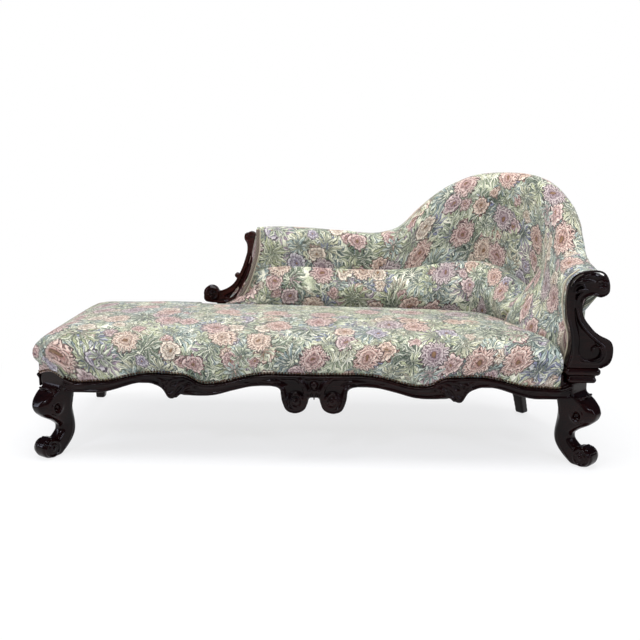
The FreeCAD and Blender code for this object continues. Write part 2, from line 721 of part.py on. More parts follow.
def foot_rail():
    face = FOOT_FACE
    out = Vector(-1, 0, 0)
    lower = rounded(in_yz(FOOT_APRON, face), closed=False)
    trim = rounded(in_yz(FOOT_TRIM, face), closed=False)
    ends = [(FOOT_APRON[0][0], RAIL_TOP), (FOOT_APRON[-1][0], RAIL_TOP)]
    top = Part.makePolygon(in_yz(ends, face))
    shapes = [band_between(lower, top, out * -RAIL_THICK), band_between(lower, trim, out * BAND_DEPTH)]
    raised = out * (BAND_DEPTH + BEAD_DEPTH)
    line = [(y, z - BEAD_FROM_EDGE) for y, z in FOOT_TRIM]
    shapes.append(bead(rounded(in_yz(line, face), closed=False), BEAD_WIDTH, raised))
    rail = fused(shapes)
    for space in joint_space(GAP) + [back_block_space()]:
        rail = rail.cut(space)
    return biggest(rail)


def back_block_space():
    left = FOOT_FACE - 2 * (BAND_DEPTH + BEAD_DEPTH)
    return box(left, FOOT_FACE + BACK_BLOCK + GAP, FRAME_DEPTH - BACK_BLOCK - GAP,
               FRAME_DEPTH + GAP, 0, RAIL_TOP + GAP)


def front_web_rail():
    start = FOOT_FACE + RAIL_THICK + GAP
    end = HALF_LENGTH - RAIL_THICK - GAP
    near = RAIL_THICK + GAP
    rail = box(start, end, near, near + WEB_RAIL_THICK, WEB_RAIL_BOTTOM, RAIL_TOP)
    for space in joint_space(GAP):
        rail = rail.cut(space)
    return biggest(rail)


def back_rail():
    return box(FOOT_FACE + BACK_BLOCK + GAP, CORNER_CENTRE_X - GAP, FRAME_DEPTH - RAIL_THICK,
               FRAME_DEPTH, REAR_RAIL_BOTTOM, RAIL_TOP)


def quarter_ring(outer, inner, low, high):
    """A board bent round the corner at the head end."""
    centre = Vector(CORNER_CENTRE_X, CORNER_CENTRE_Y, low)
    ring = Part.makeCylinder(outer, high - low, centre, Vector(0, 0, 1), 90.0)
    return ring.cut(Part.makeCylinder(inner, high - low, centre, Vector(0, 0, 1), 90.0))


def corner_rail():
    return quarter_ring(CORNER_RADIUS, CORNER_RADIUS - RAIL_THICK, REAR_RAIL_BOTTOM, RAIL_TOP)


def head_rail():
    rail = box(HALF_LENGTH - RAIL_THICK, HALF_LENGTH, LEG_Y, CORNER_CENTRE_Y - GAP,
               REAR_RAIL_BOTTOM, RAIL_TOP)
    for space in joint_space(GAP):
        rail = rail.cut(space)
    return biggest(rail)


def seat_braces():
    near = RAIL_THICK + GAP + WEB_RAIL_THICK + GAP
    far = FRAME_DEPTH - RAIL_THICK - GAP
    solids = []
    for x in BRACE_PLACES:
        half = BRACE_WIDTH / 2
        solids.append(box(x - half, x + half, near, far, WEB_RAIL_BOTTOM, WEB_RAIL_BOTTOM + BRACE_HEIGHT))
    return Part.makeCompound(solids)


def web_battens():
    """Strips of wood inside the outer rails, for the ends of the webs."""
    low = WEB_RAIL_BOTTOM
    high = WEB_RAIL_BOTTOM + BATTEN_HEIGHT
    inner = HALF_LENGTH - RAIL_THICK - GAP
    foot = FOOT_FACE + RAIL_THICK + GAP
    near = RAIL_THICK + WEB_RAIL_THICK + 2 * GAP
    far = FRAME_DEPTH - RAIL_THICK - GAP
    ring = CORNER_RADIUS - RAIL_THICK - GAP
    strips = [
        box(foot, foot + BATTEN_WIDTH, near, FRAME_DEPTH - BACK_BLOCK - GAP, low, high),
        box(inner - BATTEN_WIDTH, inner, near, CORNER_CENTRE_Y - GAP, low, high),
        box(FOOT_FACE + BACK_BLOCK + GAP, CORNER_CENTRE_X - GAP, far - BATTEN_WIDTH, far, low, high),
        quarter_ring(ring, ring - BATTEN_WIDTH, low, high),
    ]
    spaces = joint_space(GAP) + [back_right_block(GAP)]
    for x in BRACE_PLACES:
        half = BRACE_WIDTH / 2 + GAP
        spaces.append(box(x - half, x + half, near, far, low, high))
    solids = []
    for strip in strips:
        for space in spaces:
            strip = strip.cut(space)
        solids += [solid for solid in strip.Solids if solid.Volume > 5000.0]
    return Part.makeCompound(solids)


# Legs

def leg_section(z, inner, outer, width, chamfer):
    half = width / 2
    points = [
        (inner + chamfer, -half), (outer - chamfer, -half), (outer, -half + chamfer), (outer, half - chamfer),
        (outer - chamfer, half), (inner + chamfer, half), (inner, half - chamfer), (inner, -half + chamfer),
    ]
    return [Vector(u, v, z) for u, v in points]


def toe_roll():
    """The scroll foot: a roll with a raised boss on both sides."""
    half = TOE_WIDTH / 2
    centre_z = SOLE + TOE_RADIUS - TOE_SUNK
    outline = [
        (0.0, half + TOE_BOSS_PROUD), (TOE_BOSS_RADIUS, half + TOE_BOSS_PROUD), (TOE_BOSS_RADIUS, half),
        (TOE_RADIUS - TOE_CHAMFER, half), (TOE_RADIUS, half - TOE_CHAMFER),
    ]
    upper = [Vector(TOE_REACH, v, centre_z + r) for r, v in outline]
    lower = [Vector(TOE_REACH, -v, centre_z + r) for r, v in reversed(outline)]
    profile = Part.Face(Part.makePolygon(upper + lower + upper[:1]))
    return profile.revolve(Vector(TOE_REACH, 0, centre_z), Vector(0, 1, 0), 360)


def knee_roundels():
    """A carved roundel on both cheeks of the knee."""
    u, z = KNEE_PLACE
    middle = Vector(u, 0, z)
    return [roundel(middle, KNEE_RADIUS, Vector(0, side * KNEE_REACH, 0)) for side in (-1, 1)]


def cabriole():
    """The curved leg, built up of many sections between the measured ones."""
    lowest = LEG_SECTIONS[0][0]
    highest = LEG_SECTIONS[-1][0]
    levels = [lowest + (highest - lowest) * i / LEG_STEPS for i in range(LEG_STEPS + 1)]
    return lofted([leg_section(z, *between(LEG_SECTIONS, z)) for z in levels])


def front_leg(side, top):
    block = block_solid(side, 0.0, BLOCK_BOTTOM)
    leg = fused([cabriole(), block, toe_roll()] + knee_roundels())
    leg = leg.cut(box(-BLOCK_WIDTH, 2 * BLOCK_WIDTH, -BLOCK_WIDTH, BLOCK_WIDTH, SOLE - BLOCK_DEPTH, SOLE))
    leg = leg.cut(box(-BLOCK_WIDTH, BLOCK_WIDTH, -BLOCK_WIDTH, BLOCK_WIDTH, top, RAIL_TOP + BLOCK_DEPTH))
    return placed_leg(biggest(leg), side)


def back_leg(x, y, out):
    """A plain leg, square at the rail and raked outwards to a smaller foot."""
    sections = []
    for z, share, width in BACK_LEG_SECTIONS:
        half = width / 2
        middle = Vector(x, y, z) + out * (BACK_LEG_RAKE * share)
        corners = [(-half, -half), (half, -half), (half, half), (-half, half)]
        sections.append([middle + Vector(u, v, 0) for u, v in corners])
    half = BACK_BLOCK / 2
    block = box(x - half, x + half, y - half, y + half, REAR_RAIL_BOTTOM, RAIL_TOP)
    return fused([lofted(sections), block])


def back_left_leg():
    half = BACK_BLOCK / 2
    leg = back_leg(FOOT_FACE + half, FRAME_DEPTH - half, Vector(*BACK_LEFT_RAKE, 0))
    points = [Vector(FOOT_FACE, FRAME_DEPTH, REAR_RAIL_BOTTOM),
              Vector(FOOT_FACE + SEAT_CORNER, FRAME_DEPTH, REAR_RAIL_BOTTOM),
              Vector(FOOT_FACE, FRAME_DEPTH - SEAT_CORNER, REAR_RAIL_BOTTOM)]
    return leg.cut(prism(Part.makePolygon(points + points[:1]), Vector(0, 0, BACK_BLOCK * 2)))


def at_corner(shape):
    """Turn a shape drawn behind the corner's centre to the middle of the corner."""
    shape.rotate(Vector(0, 0, 0), Vector(0, 0, 1), -45.0)
    shape.translate(Vector(CORNER_CENTRE_X, CORNER_CENTRE_Y, 0))
    return shape


def back_right_block(margin):
    middle = CORNER_RADIUS - RAIL_THICK - GAP - BACK_BLOCK / 2
    half = BACK_BLOCK / 2 + margin
    return at_corner(box(-half, half, middle - half, middle + half, SOLE, RAIL_TOP))


def back_right_leg():
    leg = back_leg(0.0, CORNER_RADIUS - RAIL_THICK - GAP - BACK_BLOCK / 2, Vector(0.0, 1.0, 0))
    seat = Vector(0, 0, REAR_RAIL_BOTTOM - GAP)
    rail = Part.makeCylinder(CORNER_RADIUS, FRAME_DEPTH, seat)
    rail = rail.cut(Part.makeCylinder(CORNER_RADIUS - RAIL_THICK - GAP, FRAME_DEPTH, seat))
    return at_corner(leg.cut(rail))


# Arm post

def chamfered_slab(inset, low, high):
    """A moulded member of the collar."""
    slab = box(COLLAR_LEFT + inset, COLLAR_RIGHT - inset, COLLAR_FRONT + inset, COLLAR_BACK - inset, low, high)
    return slab.makeChamfer(COLLAR_CHAMFER, slab.Edges)


def arm_collar():
    neck = box(COLLAR_LEFT + COLLAR_NECK, COLLAR_RIGHT - COLLAR_NECK, COLLAR_FRONT + COLLAR_NECK,
               COLLAR_BACK - COLLAR_NECK, COLLAR_BOTTOM, COLLAR_TOP)
    lower = chamfered_slab(COLLAR_STEP, COLLAR_BOTTOM, COLLAR_MIDDLE - COLLAR_CHAMFER)
    upper = chamfered_slab(0.0, COLLAR_MIDDLE, COLLAR_TOP)
    return fused([lower, neck, upper])


def arm_post():
    outline = rounded(in_xz(from_head(POST_OUTLINE), POST_FRONT), sharp=(0, len(POST_OUTLINE) - 1))
    post = prism(outline, Vector(0, POST_THICK, 0))
    panel = rounded(in_xz(from_head(POST_PANEL), POST_FRONT))
    post = post.cut(prism(panel, Vector(0, PANEL_DEPTH, 0)))
    eye = Vector(HALF_LENGTH + POST_EYE[0], POST_FRONT, POST_EYE[1])
    return fused([post, roundel(eye, POST_EYE_RADIUS, Vector(0, -POST_EYE_PROUD, 0))])


# Scroll at the foot end of the back

def back_end_scroll():
    back = Vector(0, SCROLL_THICK, 0)
    band = prism(rounded(in_xz(from_corner(SCROLL_OUTLINE), SCROLL_FRONT)), back)
    panel = rounded(in_xz(from_corner(SCROLL_PANEL), SCROLL_FRONT))
    band = band.cut(prism(panel, Vector(0, PANEL_DEPTH, 0)))
    x, z = from_corner([SCROLL_VOLUTE])[0]
    volute = roundel(Vector(x, SCROLL_FRONT + SCROLL_THICK, z), SCROLL_VOLUTE_RADIUS,
                     Vector(0, -SCROLL_THICK - SCROLL_VOLUTE_PROUD, 0))
    x, z = from_corner([SCROLL_EAR])[0]
    ear = roundel(Vector(x, SCROLL_FRONT, z), SCROLL_EAR_RADIUS, back)
    reach, high, low = SCROLL_EAR_STEM
    stem = box(x, x + reach, SCROLL_FRONT, SCROLL_FRONT + SCROLL_THICK, z - low, z - high)
    right = CORNER_CENTRE_X + SCROLL_FOOT_RIGHT
    foot = box(right - SCROLL_FOOT_WIDTH, right, SCROLL_FRONT, SCROLL_FRONT + SCROLL_THICK, RAIL_TOP,
               SCROLL_INNER[-1][1] + SCROLL_FOOT_OVERLAP)
    return fused([band, volute, ear, stem, foot])


# Frame of the back and arm

def top_rail(start, end):
    """A top rail, sawn to the line of the roll and the hump and bent with the wall."""
    return wall_panel(start, end, WALL_FRAME_OUT, WALL_FRAME_IN,
                      lambda s: roll_underside(s) - TOP_RAIL_DEEP, lambda s: roll_underside(s) - ROLL_CLEAR)


def low_rail(start, end):
    rail = wall_panel(start, end, WALL_FRAME_OUT, WALL_FRAME_IN,
                      lambda s: RAIL_TOP, lambda s: RAIL_TOP + LOW_RAIL_DEEP)
    return rail.cut(collar_envelope(GAP))


def wall_uprights():
    half = UPRIGHT_WIDTH / 2
    return Part.makeCompound([
        wall_panel(s - half, s + half, WALL_FRAME_OUT, WALL_FRAME_IN,
                   lambda p: RAIL_TOP + LOW_RAIL_DEEP + GAP,
                   lambda p: roll_underside(p) - TOP_RAIL_DEEP - UPRIGHT_SHORT) for s in UPRIGHT_PLACES])


def outside_cover(start, end):
    """The cloth panel that closes the outside, tacked to the frame."""
    far = WALL_FRAME_OUT - GAP
    cover = wall_panel(start, end, far - CLOTH_THICK, far,
                       lambda s: RAIL_TOP + GAP, lambda s: roll_underside(s) - GAP)
    return biggest(cover.cut(collar_envelope(GAP)).cut(scroll_side(0.0)))


def wall_webs():
    """Upright webs on the inside of the back's frame."""
    near = WALL_FRAME_IN + GAP
    half = WEB_WIDTH / 2
    return Part.makeCompound([
        wall_panel(s - half, s + half, near, near + WALL_WEB_THICK, lambda p: RAIL_TOP + WALL_WEB_END,
                   lambda p: roll_underside(p) - WALL_WEB_END) for s in WALL_WEB_PLACES])


def wall_hessian(start, end):
    near = WALL_FRAME_IN + WALL_WEB_THICK + 2 * GAP
    sheet = wall_panel(start, end, near, near + HESSIAN_THICK,
                       lambda s: RAIL_TOP + GAP, lambda s: roll_underside(s) - GAP)
    return biggest(sheet.cut(collar_envelope(GAP)))


# Padding and covers of the back and arm

def scroll_side(inset):
    """Everything on the foot side of the scroll's inner edge."""
    inner = [(x + GAP + inset, z) for x, z in SCROLL_INNER]
    beyond = inner[-1][0] - FRAME_DEPTH
    corners = [(beyond, HUMP_HEIGHT), (inner[0][0], HUMP_HEIGHT)] + inner
    corners += [(inner[-1][0], 0.0), (beyond, 0.0)]
    points = in_xz(from_corner(corners), 0.0)
    return prism(Part.makePolygon(points + points[:1]), Vector(0, 2 * FRAME_DEPTH, 0))


def back_stuffing():
    stuffing = wall_padding(BACK_STATIONS, BACK_START, BACK_END - JOIN_STEP, COVER_THICK)
    return biggest(stuffing.cut(scroll_side(COVER_THICK)))


def back_cover():
    cover = wall_padding(BACK_STATIONS, BACK_START, BACK_END, 0.0)
    inside = wall_padding(BACK_STATIONS, BACK_START, BACK_END - JOIN_STEP + GAP, COVER_THICK - SKIN_GAP,
                          PAD_BACK - COVER_THICK)
    inside = inside.cut(scroll_side(COVER_THICK - SKIN_GAP))
    return biggest(cover.cut(inside).cut(scroll_side(0.0)))


def lumbar_stuffing():
    stuffing = roll_padding(BACK_START, BACK_END - JOIN_STEP, COVER_THICK)
    return biggest(stuffing.cut(scroll_side(COVER_THICK)))


def lumbar_cover():
    cover = roll_padding(BACK_START, BACK_END, 0.0)
    inside = roll_padding(BACK_START, BACK_END - JOIN_STEP + GAP, COVER_THICK - SKIN_GAP)
    inside = inside.cut(scroll_side(COVER_THICK - SKIN_GAP))
    return biggest(cover.cut(inside).cut(scroll_side(0.0)))


def arm_stuffing():
    stuffing = wall_padding(ARM_STATIONS, ARM_START + JOIN_STEP, ARM_END - JOIN_STEP, COVER_THICK)
    return biggest(stuffing.cut(collar_envelope(GAP)))


def arm_cover():
    cover = wall_padding(ARM_STATIONS, ARM_START, ARM_END, 0.0)
    inside = wall_padding(ARM_STATIONS, ARM_START + JOIN_STEP - GAP, ARM_END - JOIN_STEP + GAP,
                          COVER_THICK - SKIN_GAP, PAD_BACK - COVER_THICK)
    return biggest(cover.cut(inside).cut(collar_envelope(GAP)))


# Seat

def seat_levels(inset):
    """Level, and how far the free, hidden and back sides stand in."""
    under = RAIL_TOP + GAP
    rise = SEAT_CROWN - inset - under
    rows = [
        (0.0, -SKIRT_OUT, 0.0, -SKIRT_OUT), (0.15, -14.0, 0.0, -4.0), (0.38, -SEAT_OVERHANG, 0.0, -5.0),
        (0.6, -6.0, 1.0, 0.0), (0.78, 18.0, 4.0, 16.0), (0.91, 58.0, 15.0, 50.0), (1.0, 124.0, 60.0, 112.0),
    ]
    return [(under + share * rise, free + inset, hidden + inset, back + inset)
            for share, free, hidden, back in rows]


def seat_body(inset, smooth):
    return lofted([seat_outline(*row, smooth=smooth) for row in seat_levels(inset)])


def trimmed_below(points, flat, start, thick):
    """Everything below a trim line, for cutting the cover's lower edge."""
    line = [(p, z + LAYER_GAP) for p, z in points]
    ends = [(line[0][0], 0.0), (line[-1][0], 0.0)]
    return band_between(Part.makePolygon(flat(ends, start)), rounded(flat(line, start), closed=False), thick)


def skirt():
    """The part of the cover that hangs over the rails' faces to the trim line."""
    height = RAIL_TOP + GAP - RAIL_BOTTOM
    outer = prism(seat_wire(RAIL_BOTTOM, -SKIRT_OUT, 0.0, -SKIRT_OUT, False), Vector(0, 0, height))
    inner = prism(seat_wire(RAIL_BOTTOM, -GAP, -SKIRT_INNER, -GAP, False), Vector(0, 0, height))
    reach = 2 * SEAT_OVERHANG
    right = trimmed_below(TRIM_LINE, in_xz, -SEAT_OVERHANG, Vector(0, reach, 0))
    left = right.mirror(Vector(0, 0, 0), Vector(1, 0, 0))
    foot = trimmed_below(FOOT_TRIM, in_yz, FOOT_FACE - SEAT_OVERHANG, Vector(reach, 0, 0))
    back = box(FOOT_FACE - reach, HALF_LENGTH, FRAME_DEPTH - BACK_BLOCK, FRAME_DEPTH + reach,
               0.0, FOOT_TRIM[-1][1] + GAP)
    arch = placed_leg(arch_over_block(), -1)
    return outer.cut(inner).cut(right).cut(left).cut(foot).cut(back).cut(arch)


def arch_over_block():
    """The arched edge of the cover over the front block, as a tool to cut it."""
    half = FOOT_BLOCK_WIDTH / 2
    near = BLOCK_DEPTH / 2 - SKIRT_OUT
    start = Vector(near, -half, ARCH_SIDE)
    end = Vector(near, half, ARCH_SIDE)
    arc = Part.Arc(start, Vector(near, 0, ARCH_TOP), end).toShape()
    sides = Part.makePolygon([end, Vector(near, half, 0.0), Vector(near, -half, 0.0), start])
    return prism(Part.Wire([arc] + sides.Edges), Vector(BLOCK_WIDTH, 0, 0))


def seat_cover():
    cover = fused([seat_body(0.0, True), skirt()])
    cover = cover.cut(seat_body(COVER_THICK - SKIN_GAP, False))
    for space in joint_space(GAP) + [front_rail(), foot_rail()]:
        cover = cover.cut(space)
    return biggest(cover)


def hessian_hill(drop):
    """The sprung hill that the hessian is tied over."""
    edge = COVER_THICK + LAYER_GAP
    slope = HESSIAN_SLOPE
    return lofted([seat_outline(RAIL_TOP + LAYER_GAP - drop, edge, edge, edge, smooth=False),
                   seat_outline(HESSIAN_HEIGHT - drop, slope, slope, slope, smooth=False)])


def spring_hessian():
    return biggest(hessian_hill(0.0).cut(hessian_hill(HESSIAN_THICK)))


def seat_stuffing():
    edge = COVER_THICK + LAYER_GAP
    base = prism(seat_wire(RAIL_TOP, edge, edge, edge, False), Vector(0, 0, 2 * LAYER_GAP))
    return biggest(seat_body(COVER_THICK, False).cut(hessian_hill(-LAYER_GAP)).cut(base))


def springs_held(x, y):
    """Whether the whole top of a spring lies under the hessian's flat part."""
    slope = HESSIAN_SLOPE + HESSIAN_THICK
    level = Part.Face(seat_wire(HESSIAN_HEIGHT, slope, slope, slope, False))
    turns = [2 * math.pi * i / SPRING_SIDES for i in range(SPRING_SIDES)]
    rim = [Vector(x + SPRING_RADIUS * math.cos(t), y + SPRING_RADIUS * math.sin(t), HESSIAN_HEIGHT)
           for t in turns]
    return all(level.isInside(point, 0.1, True) for point in rim)


def polygon_ring(radius, z):
    turn = 2 * math.pi / SPRING_SIDES
    return [Vector(radius * math.cos(i * turn), radius * math.sin(i * turn), z) for i in range(SPRING_SIDES)]


def spring_columns():
    """Places of the springs along the couch, evenly in each bay between braces."""
    edges = [FOOT_FACE + RAIL_THICK] + list(BRACE_PLACES) + [HALF_LENGTH - SPRING_FROM_HEAD]
    columns = []
    for start, end in zip(edges, edges[1:]):
        step = (end - start) / SPRINGS_PER_BAY
        columns += [start + (i + 0.5) * step for i in range(SPRINGS_PER_BAY)]
    return columns


def seat_springs():
    low = WEB_RAIL_BOTTOM
    high = HESSIAN_HEIGHT - HESSIAN_THICK - GAP
    rings = [polygon_ring(SPRING_RADIUS, low), polygon_ring(SPRING_WAIST, (low + high) / 2),
             polygon_ring(SPRING_RADIUS, high)]
    spring = lofted(rings)
    places = [(x, y) for x in spring_columns() for y in SPRING_ROWS if springs_held(x, y)]
    return Part.makeCompound([spring.translated(Vector(x, y, 0)) for x, y in places])


def web_reach(across):
    """How far a web runs past the corner's centre, at a distance beside it."""
    reach = CORNER_RADIUS - RAIL_THICK - BATTEN_WIDTH / 2
    beside = max(0.0, across + WEB_WIDTH / 2)
    return math.sqrt(reach ** 2 - beside ** 2)


def clear_of_legs(strips):
    """Webs shortened where they would run into a leg's block."""
    webs = []
    for strip in strips:
        for space in joint_space(GAP) + [back_right_block(GAP)]:
            strip = biggest(strip.cut(space))
        webs.append(strip)
    return Part.makeCompound(webs)


def long_webs():
    top = WEB_RAIL_BOTTOM - GAP
    near = FOOT_FACE + RAIL_THICK + BATTEN_WIDTH / 2
    rows = list(SPRING_ROWS)
    rows += [(low + high) / 2 for low, high in zip(SPRING_ROWS, SPRING_ROWS[1:])]
    strips = []
    for y in rows:
        far = CORNER_CENTRE_X + web_reach(y - CORNER_CENTRE_Y)
        strips.append(box(near, far, y - WEB_WIDTH / 2, y + WEB_WIDTH / 2, top - WEB_THICK, top))
    return clear_of_legs(strips)


def cross_webs():
    top = WEB_RAIL_BOTTOM - WEB_THICK - 2 * GAP
    near = RAIL_THICK + WEB_RAIL_THICK / 2
    strips = []
    for x in spring_columns():
        far = CORNER_CENTRE_Y + web_reach(x - CORNER_CENTRE_X)
        strips.append(box(x - WEB_WIDTH / 2, x + WEB_WIDTH / 2, near, far, top - WEB_THICK, top))
    return clear_of_legs(strips)


def bottom_cloth():
    top = WEB_RAIL_BOTTOM - 2 * GAP - 2 * WEB_THICK - GAP
    margin = RAIL_THICK + LAYER_GAP
    x = HALF_LENGTH - margin
    y = FRAME_DEPTH - margin
    low = Vector(0, 0, top - CLOTH_THICK)
    bend = CORNER_RADIUS - margin
    middle = Vector(CORNER_CENTRE_X, CORNER_CENTRE_Y, 0) + Vector(1, 1, 0) * (bend / math.sqrt(2))
    start = Vector(x, CORNER_CENTRE_Y, 0)
    end = Vector(CORNER_CENTRE_X, y, 0)
    foot = FOOT_FACE + margin
    sides = Part.makePolygon([end, Vector(foot, y, 0), Vector(foot, margin, 0), Vector(x, margin, 0), start])
    wire = Part.Wire([Part.Arc(start, middle, end).toShape()] + sides.Edges)
    wire.translate(low)
    cloth = prism(wire, Vector(0, 0, CLOTH_THICK))
    block = BACK_BLOCK + GAP
    spaces = joint_space(GAP) + [back_right_block(GAP)]
    spaces.append(box(FOOT_FACE, FOOT_FACE + block, FRAME_DEPTH - block, FRAME_DEPTH, 0, RAIL_TOP))
    for space in spaces:
        cloth = cloth.cut(space)
    return biggest(cloth)


WALL_PLACES = shared_places()
NODES = {
    "front_rail": front_rail(),
    "foot_rail": foot_rail(),
    "back_rail": back_rail(),
    "corner_rail": corner_rail(),
    "head_rail": head_rail(),
    "front_web_rail": front_web_rail(),
    "web_battens": web_battens(),
    "seat_braces": seat_braces(),
    "front_left_leg": front_leg(-1, RAIL_TOP),
    "front_right_leg": front_leg(1, COLLAR_BOTTOM),
    "back_left_leg": back_left_leg(),
    "back_right_leg": back_right_leg(),
    "arm_post_collar": arm_collar(),
    "arm_front_post": arm_post(),
    "back_end_scroll": back_end_scroll(),
    "back_low_rail": low_rail(SCROLL_FOOT_RIGHT + GAP, -GAP),
    "corner_low_rail": low_rail(0.0, ARC_LENGTH),
    "arm_low_rail": low_rail(ARC_LENGTH + GAP, ARM_END),
    "back_top_rail": top_rail(SCROLL_INNER[0][0] + GAP, -GAP),
    "corner_top_rail": top_rail(0.0, ARC_LENGTH),
    "arm_top_rail": top_rail(ARC_LENGTH + GAP, ARM_END),
    "wall_uprights": wall_uprights(),
    "back_webs": wall_webs(),
    "back_hessian": wall_hessian(SCROLL_INNER[0][0] + COVER_THICK, BACK_END),
    "arm_hessian": wall_hessian(ARM_START, ARM_END),
    "back_stuffing": back_stuffing(),
    "back_cover": back_cover(),
    "lumbar_stuffing": lumbar_stuffing(),
    "lumbar_cover": lumbar_cover(),
    "arm_stuffing": arm_stuffing(),
    "arm_cover": arm_cover(),
    "outside_back_cover": outside_cover(SCROLL_FOOT_RIGHT + GAP, BACK_END),
    "outside_arm_cover": outside_cover(ARM_START, ARM_END),
    "long_webs": long_webs(),
    "cross_webs": cross_webs(),
    "seat_springs": seat_springs(),
    "spring_hessian": spring_hessian(),
    "seat_stuffing": seat_stuffing(),
    "seat_cover": seat_cover(),
    "bottom_cloth": bottom_cloth(),
}


def whole_box():
    box_of_all = FreeCAD.BoundBox()
    for shape in NODES.values():
        box_of_all.add(shape.optimalBoundingBox(False, False))
    return box_of_all


os.makedirs("parts", exist_ok=True)
bounds = whole_box()
centring = Vector(-bounds.Center.x, -bounds.Center.y, -SOLE)
for name, shape in NODES.items():
    shape.translate(centring)
    shape.exportStep("parts/" + name + ".step")
    print(name, len(shape.Solids), shape.isValid(), round(shape.Volume / 1000.0), "cm3")
print("size", round(bounds.XLength, 1), round(bounds.YLength, 1), round(bounds.ZLength, 1))
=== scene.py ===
import math
from functools import partial

import bpy
import numpy as np
from mathutils import Matrix, Vector


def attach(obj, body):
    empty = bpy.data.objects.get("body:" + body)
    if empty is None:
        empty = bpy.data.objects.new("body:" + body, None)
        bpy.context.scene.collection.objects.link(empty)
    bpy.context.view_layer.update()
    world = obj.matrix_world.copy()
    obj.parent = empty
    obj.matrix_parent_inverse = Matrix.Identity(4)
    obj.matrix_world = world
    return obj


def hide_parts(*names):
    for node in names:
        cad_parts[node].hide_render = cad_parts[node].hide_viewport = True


# The looks of a fainting couch. Places are in millimetres, in the couch's own
# drawing frame: x along the couch from the middle of its apron, y back from
# the front rail's face, z up. at() turns them into the row frame, in metres.

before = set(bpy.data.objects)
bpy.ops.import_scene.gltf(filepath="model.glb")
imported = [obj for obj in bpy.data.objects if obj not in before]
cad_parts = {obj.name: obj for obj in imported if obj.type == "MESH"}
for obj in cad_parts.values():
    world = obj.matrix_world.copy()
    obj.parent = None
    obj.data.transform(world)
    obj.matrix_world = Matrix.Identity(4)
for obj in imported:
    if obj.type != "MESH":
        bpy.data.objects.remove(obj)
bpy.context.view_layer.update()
ORIGIN = np.array([0.00376, -0.31474, 0.014])
RNG = np.random.default_rng(7)

HALF = 893.0                # from the middle of the apron to the head rail's face
FOOT_FACE = -923.0
FOOT_CANT = (94.0, 54.0)
DEPTH = 650.0
RAIL_TOP = 296.0
CROWN = 412.0
CORNER_RADIUS = 340.0
CORNER_X = HALF - CORNER_RADIUS
CORNER_Y = DEPTH - CORNER_RADIUS
ARC = CORNER_RADIUS * math.pi / 2
ARM_END = ARC + CORNER_Y - 36.3
SEAT_LEVEL = 398.0
SCROLL_FRONT = 602.0
POST_FRONT = -14.0
BAND = 9.0
WALL_START = -903.0         # place along the wall where the padding begins, at the scroll
ARM_START = 432.0           # and where the arm takes over from the back
TUCK = 260.0                # run over which the padding follows the scroll's slant
STEP_X = CORNER_X - 1029.0  # where the seat clears the end of the back
KNEE = (50.0, 158.0)        # of a front leg's knee, outwards from its axis and up
TOE = (72.0, 19.0)          # middle of the toe's roll

# Place along the wall, top, roll depth, overhang, and padding high, half way and low
BACK = np.array([
    (-903, 693, 34, 10, 58, 52, 50), (-768, 697, 34, 12, 60, 54, 52), (-623, 692, 34, 14, 62, 56, 54),
    (-463, 682, 34, 14, 62, 58, 56), (-323, 677, 34, 14, 62, 60, 60), (-253, 701, 34, 14, 62, 62, 64),
    (-183, 771, 34, 15, 62, 65, 68), (-103, 837, 34, 16, 62, 66, 70), (-3, 885, 34, 18, 62, 68, 72),
    (117, 908, 34, 20, 62, 70, 75), (237, 905, 34, 22, 62, 72, 78), (337, 876, 34, 22, 62, 74, 80),
    (432, 819, 34, 22, 66, 78, 82)], float)
ARM = np.array([
    (432.5, 819, 34, 22, 66, 96, 222), (487, 771, 36, 22, 70, 106, 220), (542, 709, 40, 22, 76, 114, 208),
    (ARM_END - 221, 664, 46, 24, 80, 116, 194), (ARM_END - 171, 643, 52, 30, 80, 110, 176),
    (ARM_END - 101, 630, 56, 42, 72, 92, 140), (ARM_END, 614, 58, 54, 56, 52, 78)], float)
LUMBAR = np.array([
    (-903, 500, 78), (-815, 536, 84), (-733, 545, 88), (-603, 545, 92), (-453, 539, 97), (-253, 541, 120),
    (-153, 556, 138), (-53, 574, 160), (47, 578, 180), (157, 562, 198), (267, 528, 212), (357, 490, 220),
    (432, 462, 222)], float)
SCROLL_INNER = np.array([(-809, 676), (-811, 610), (-829, 540), (-859, 462), (-893, 412),
                         (-938, 396)], float)
TRIM = np.array([(0, 282), (150, 283), (190, 281), (245, 268), (305, 252), (340, 248), (375, 252),
                 (412, 271), (470, 280), (560, 280), (615, 268), (670, 253), (730, 249), (792, 249),
                 (822, 262)], float)
LOWER = np.array([(0, 206), (88, 206), (112, 236), (135, 243), (200, 242), (262, 228), (330, 210),
                  (400, 208), (438, 211), (461, 198), (475, 198), (489, 222), (520, 243), (550, 249),
                  (600, 243),
                  (650, 226), (700, 214), (760, 213), (822, 213)], float)
FOOT_TRIM = np.array([(54, 262), (120, 256), (190, 253), (240, 270), (290, 281), (360, 281), (410, 270),
                      (460, 253), (530, 256), (630, 262)], float)


# Numbers, lines and meshes

def at(points):
    return np.asarray(points, float) / 1000.0 + ORIGIN


def spline(table, x, column=1):
    """A smooth curve through a table's rows, at places x."""
    xs, ys = table[:, 0], table[:, column]
    slope = np.gradient(ys, xs)
    x = np.clip(x, xs[0], xs[-1])
    i = np.clip(np.searchsorted(xs, x, side="right") - 1, 0, len(xs) - 2)
    h = xs[i + 1] - xs[i]
    t = (x - xs[i]) / h
    return ((2 * t**3 - 3 * t**2 + 1) * ys[i] + (t**3 - 2 * t**2 + t) * h * slope[i]
            + (3 * t**2 - 2 * t**3) * ys[i + 1] + (t**3 - t**2) * h * slope[i + 1])


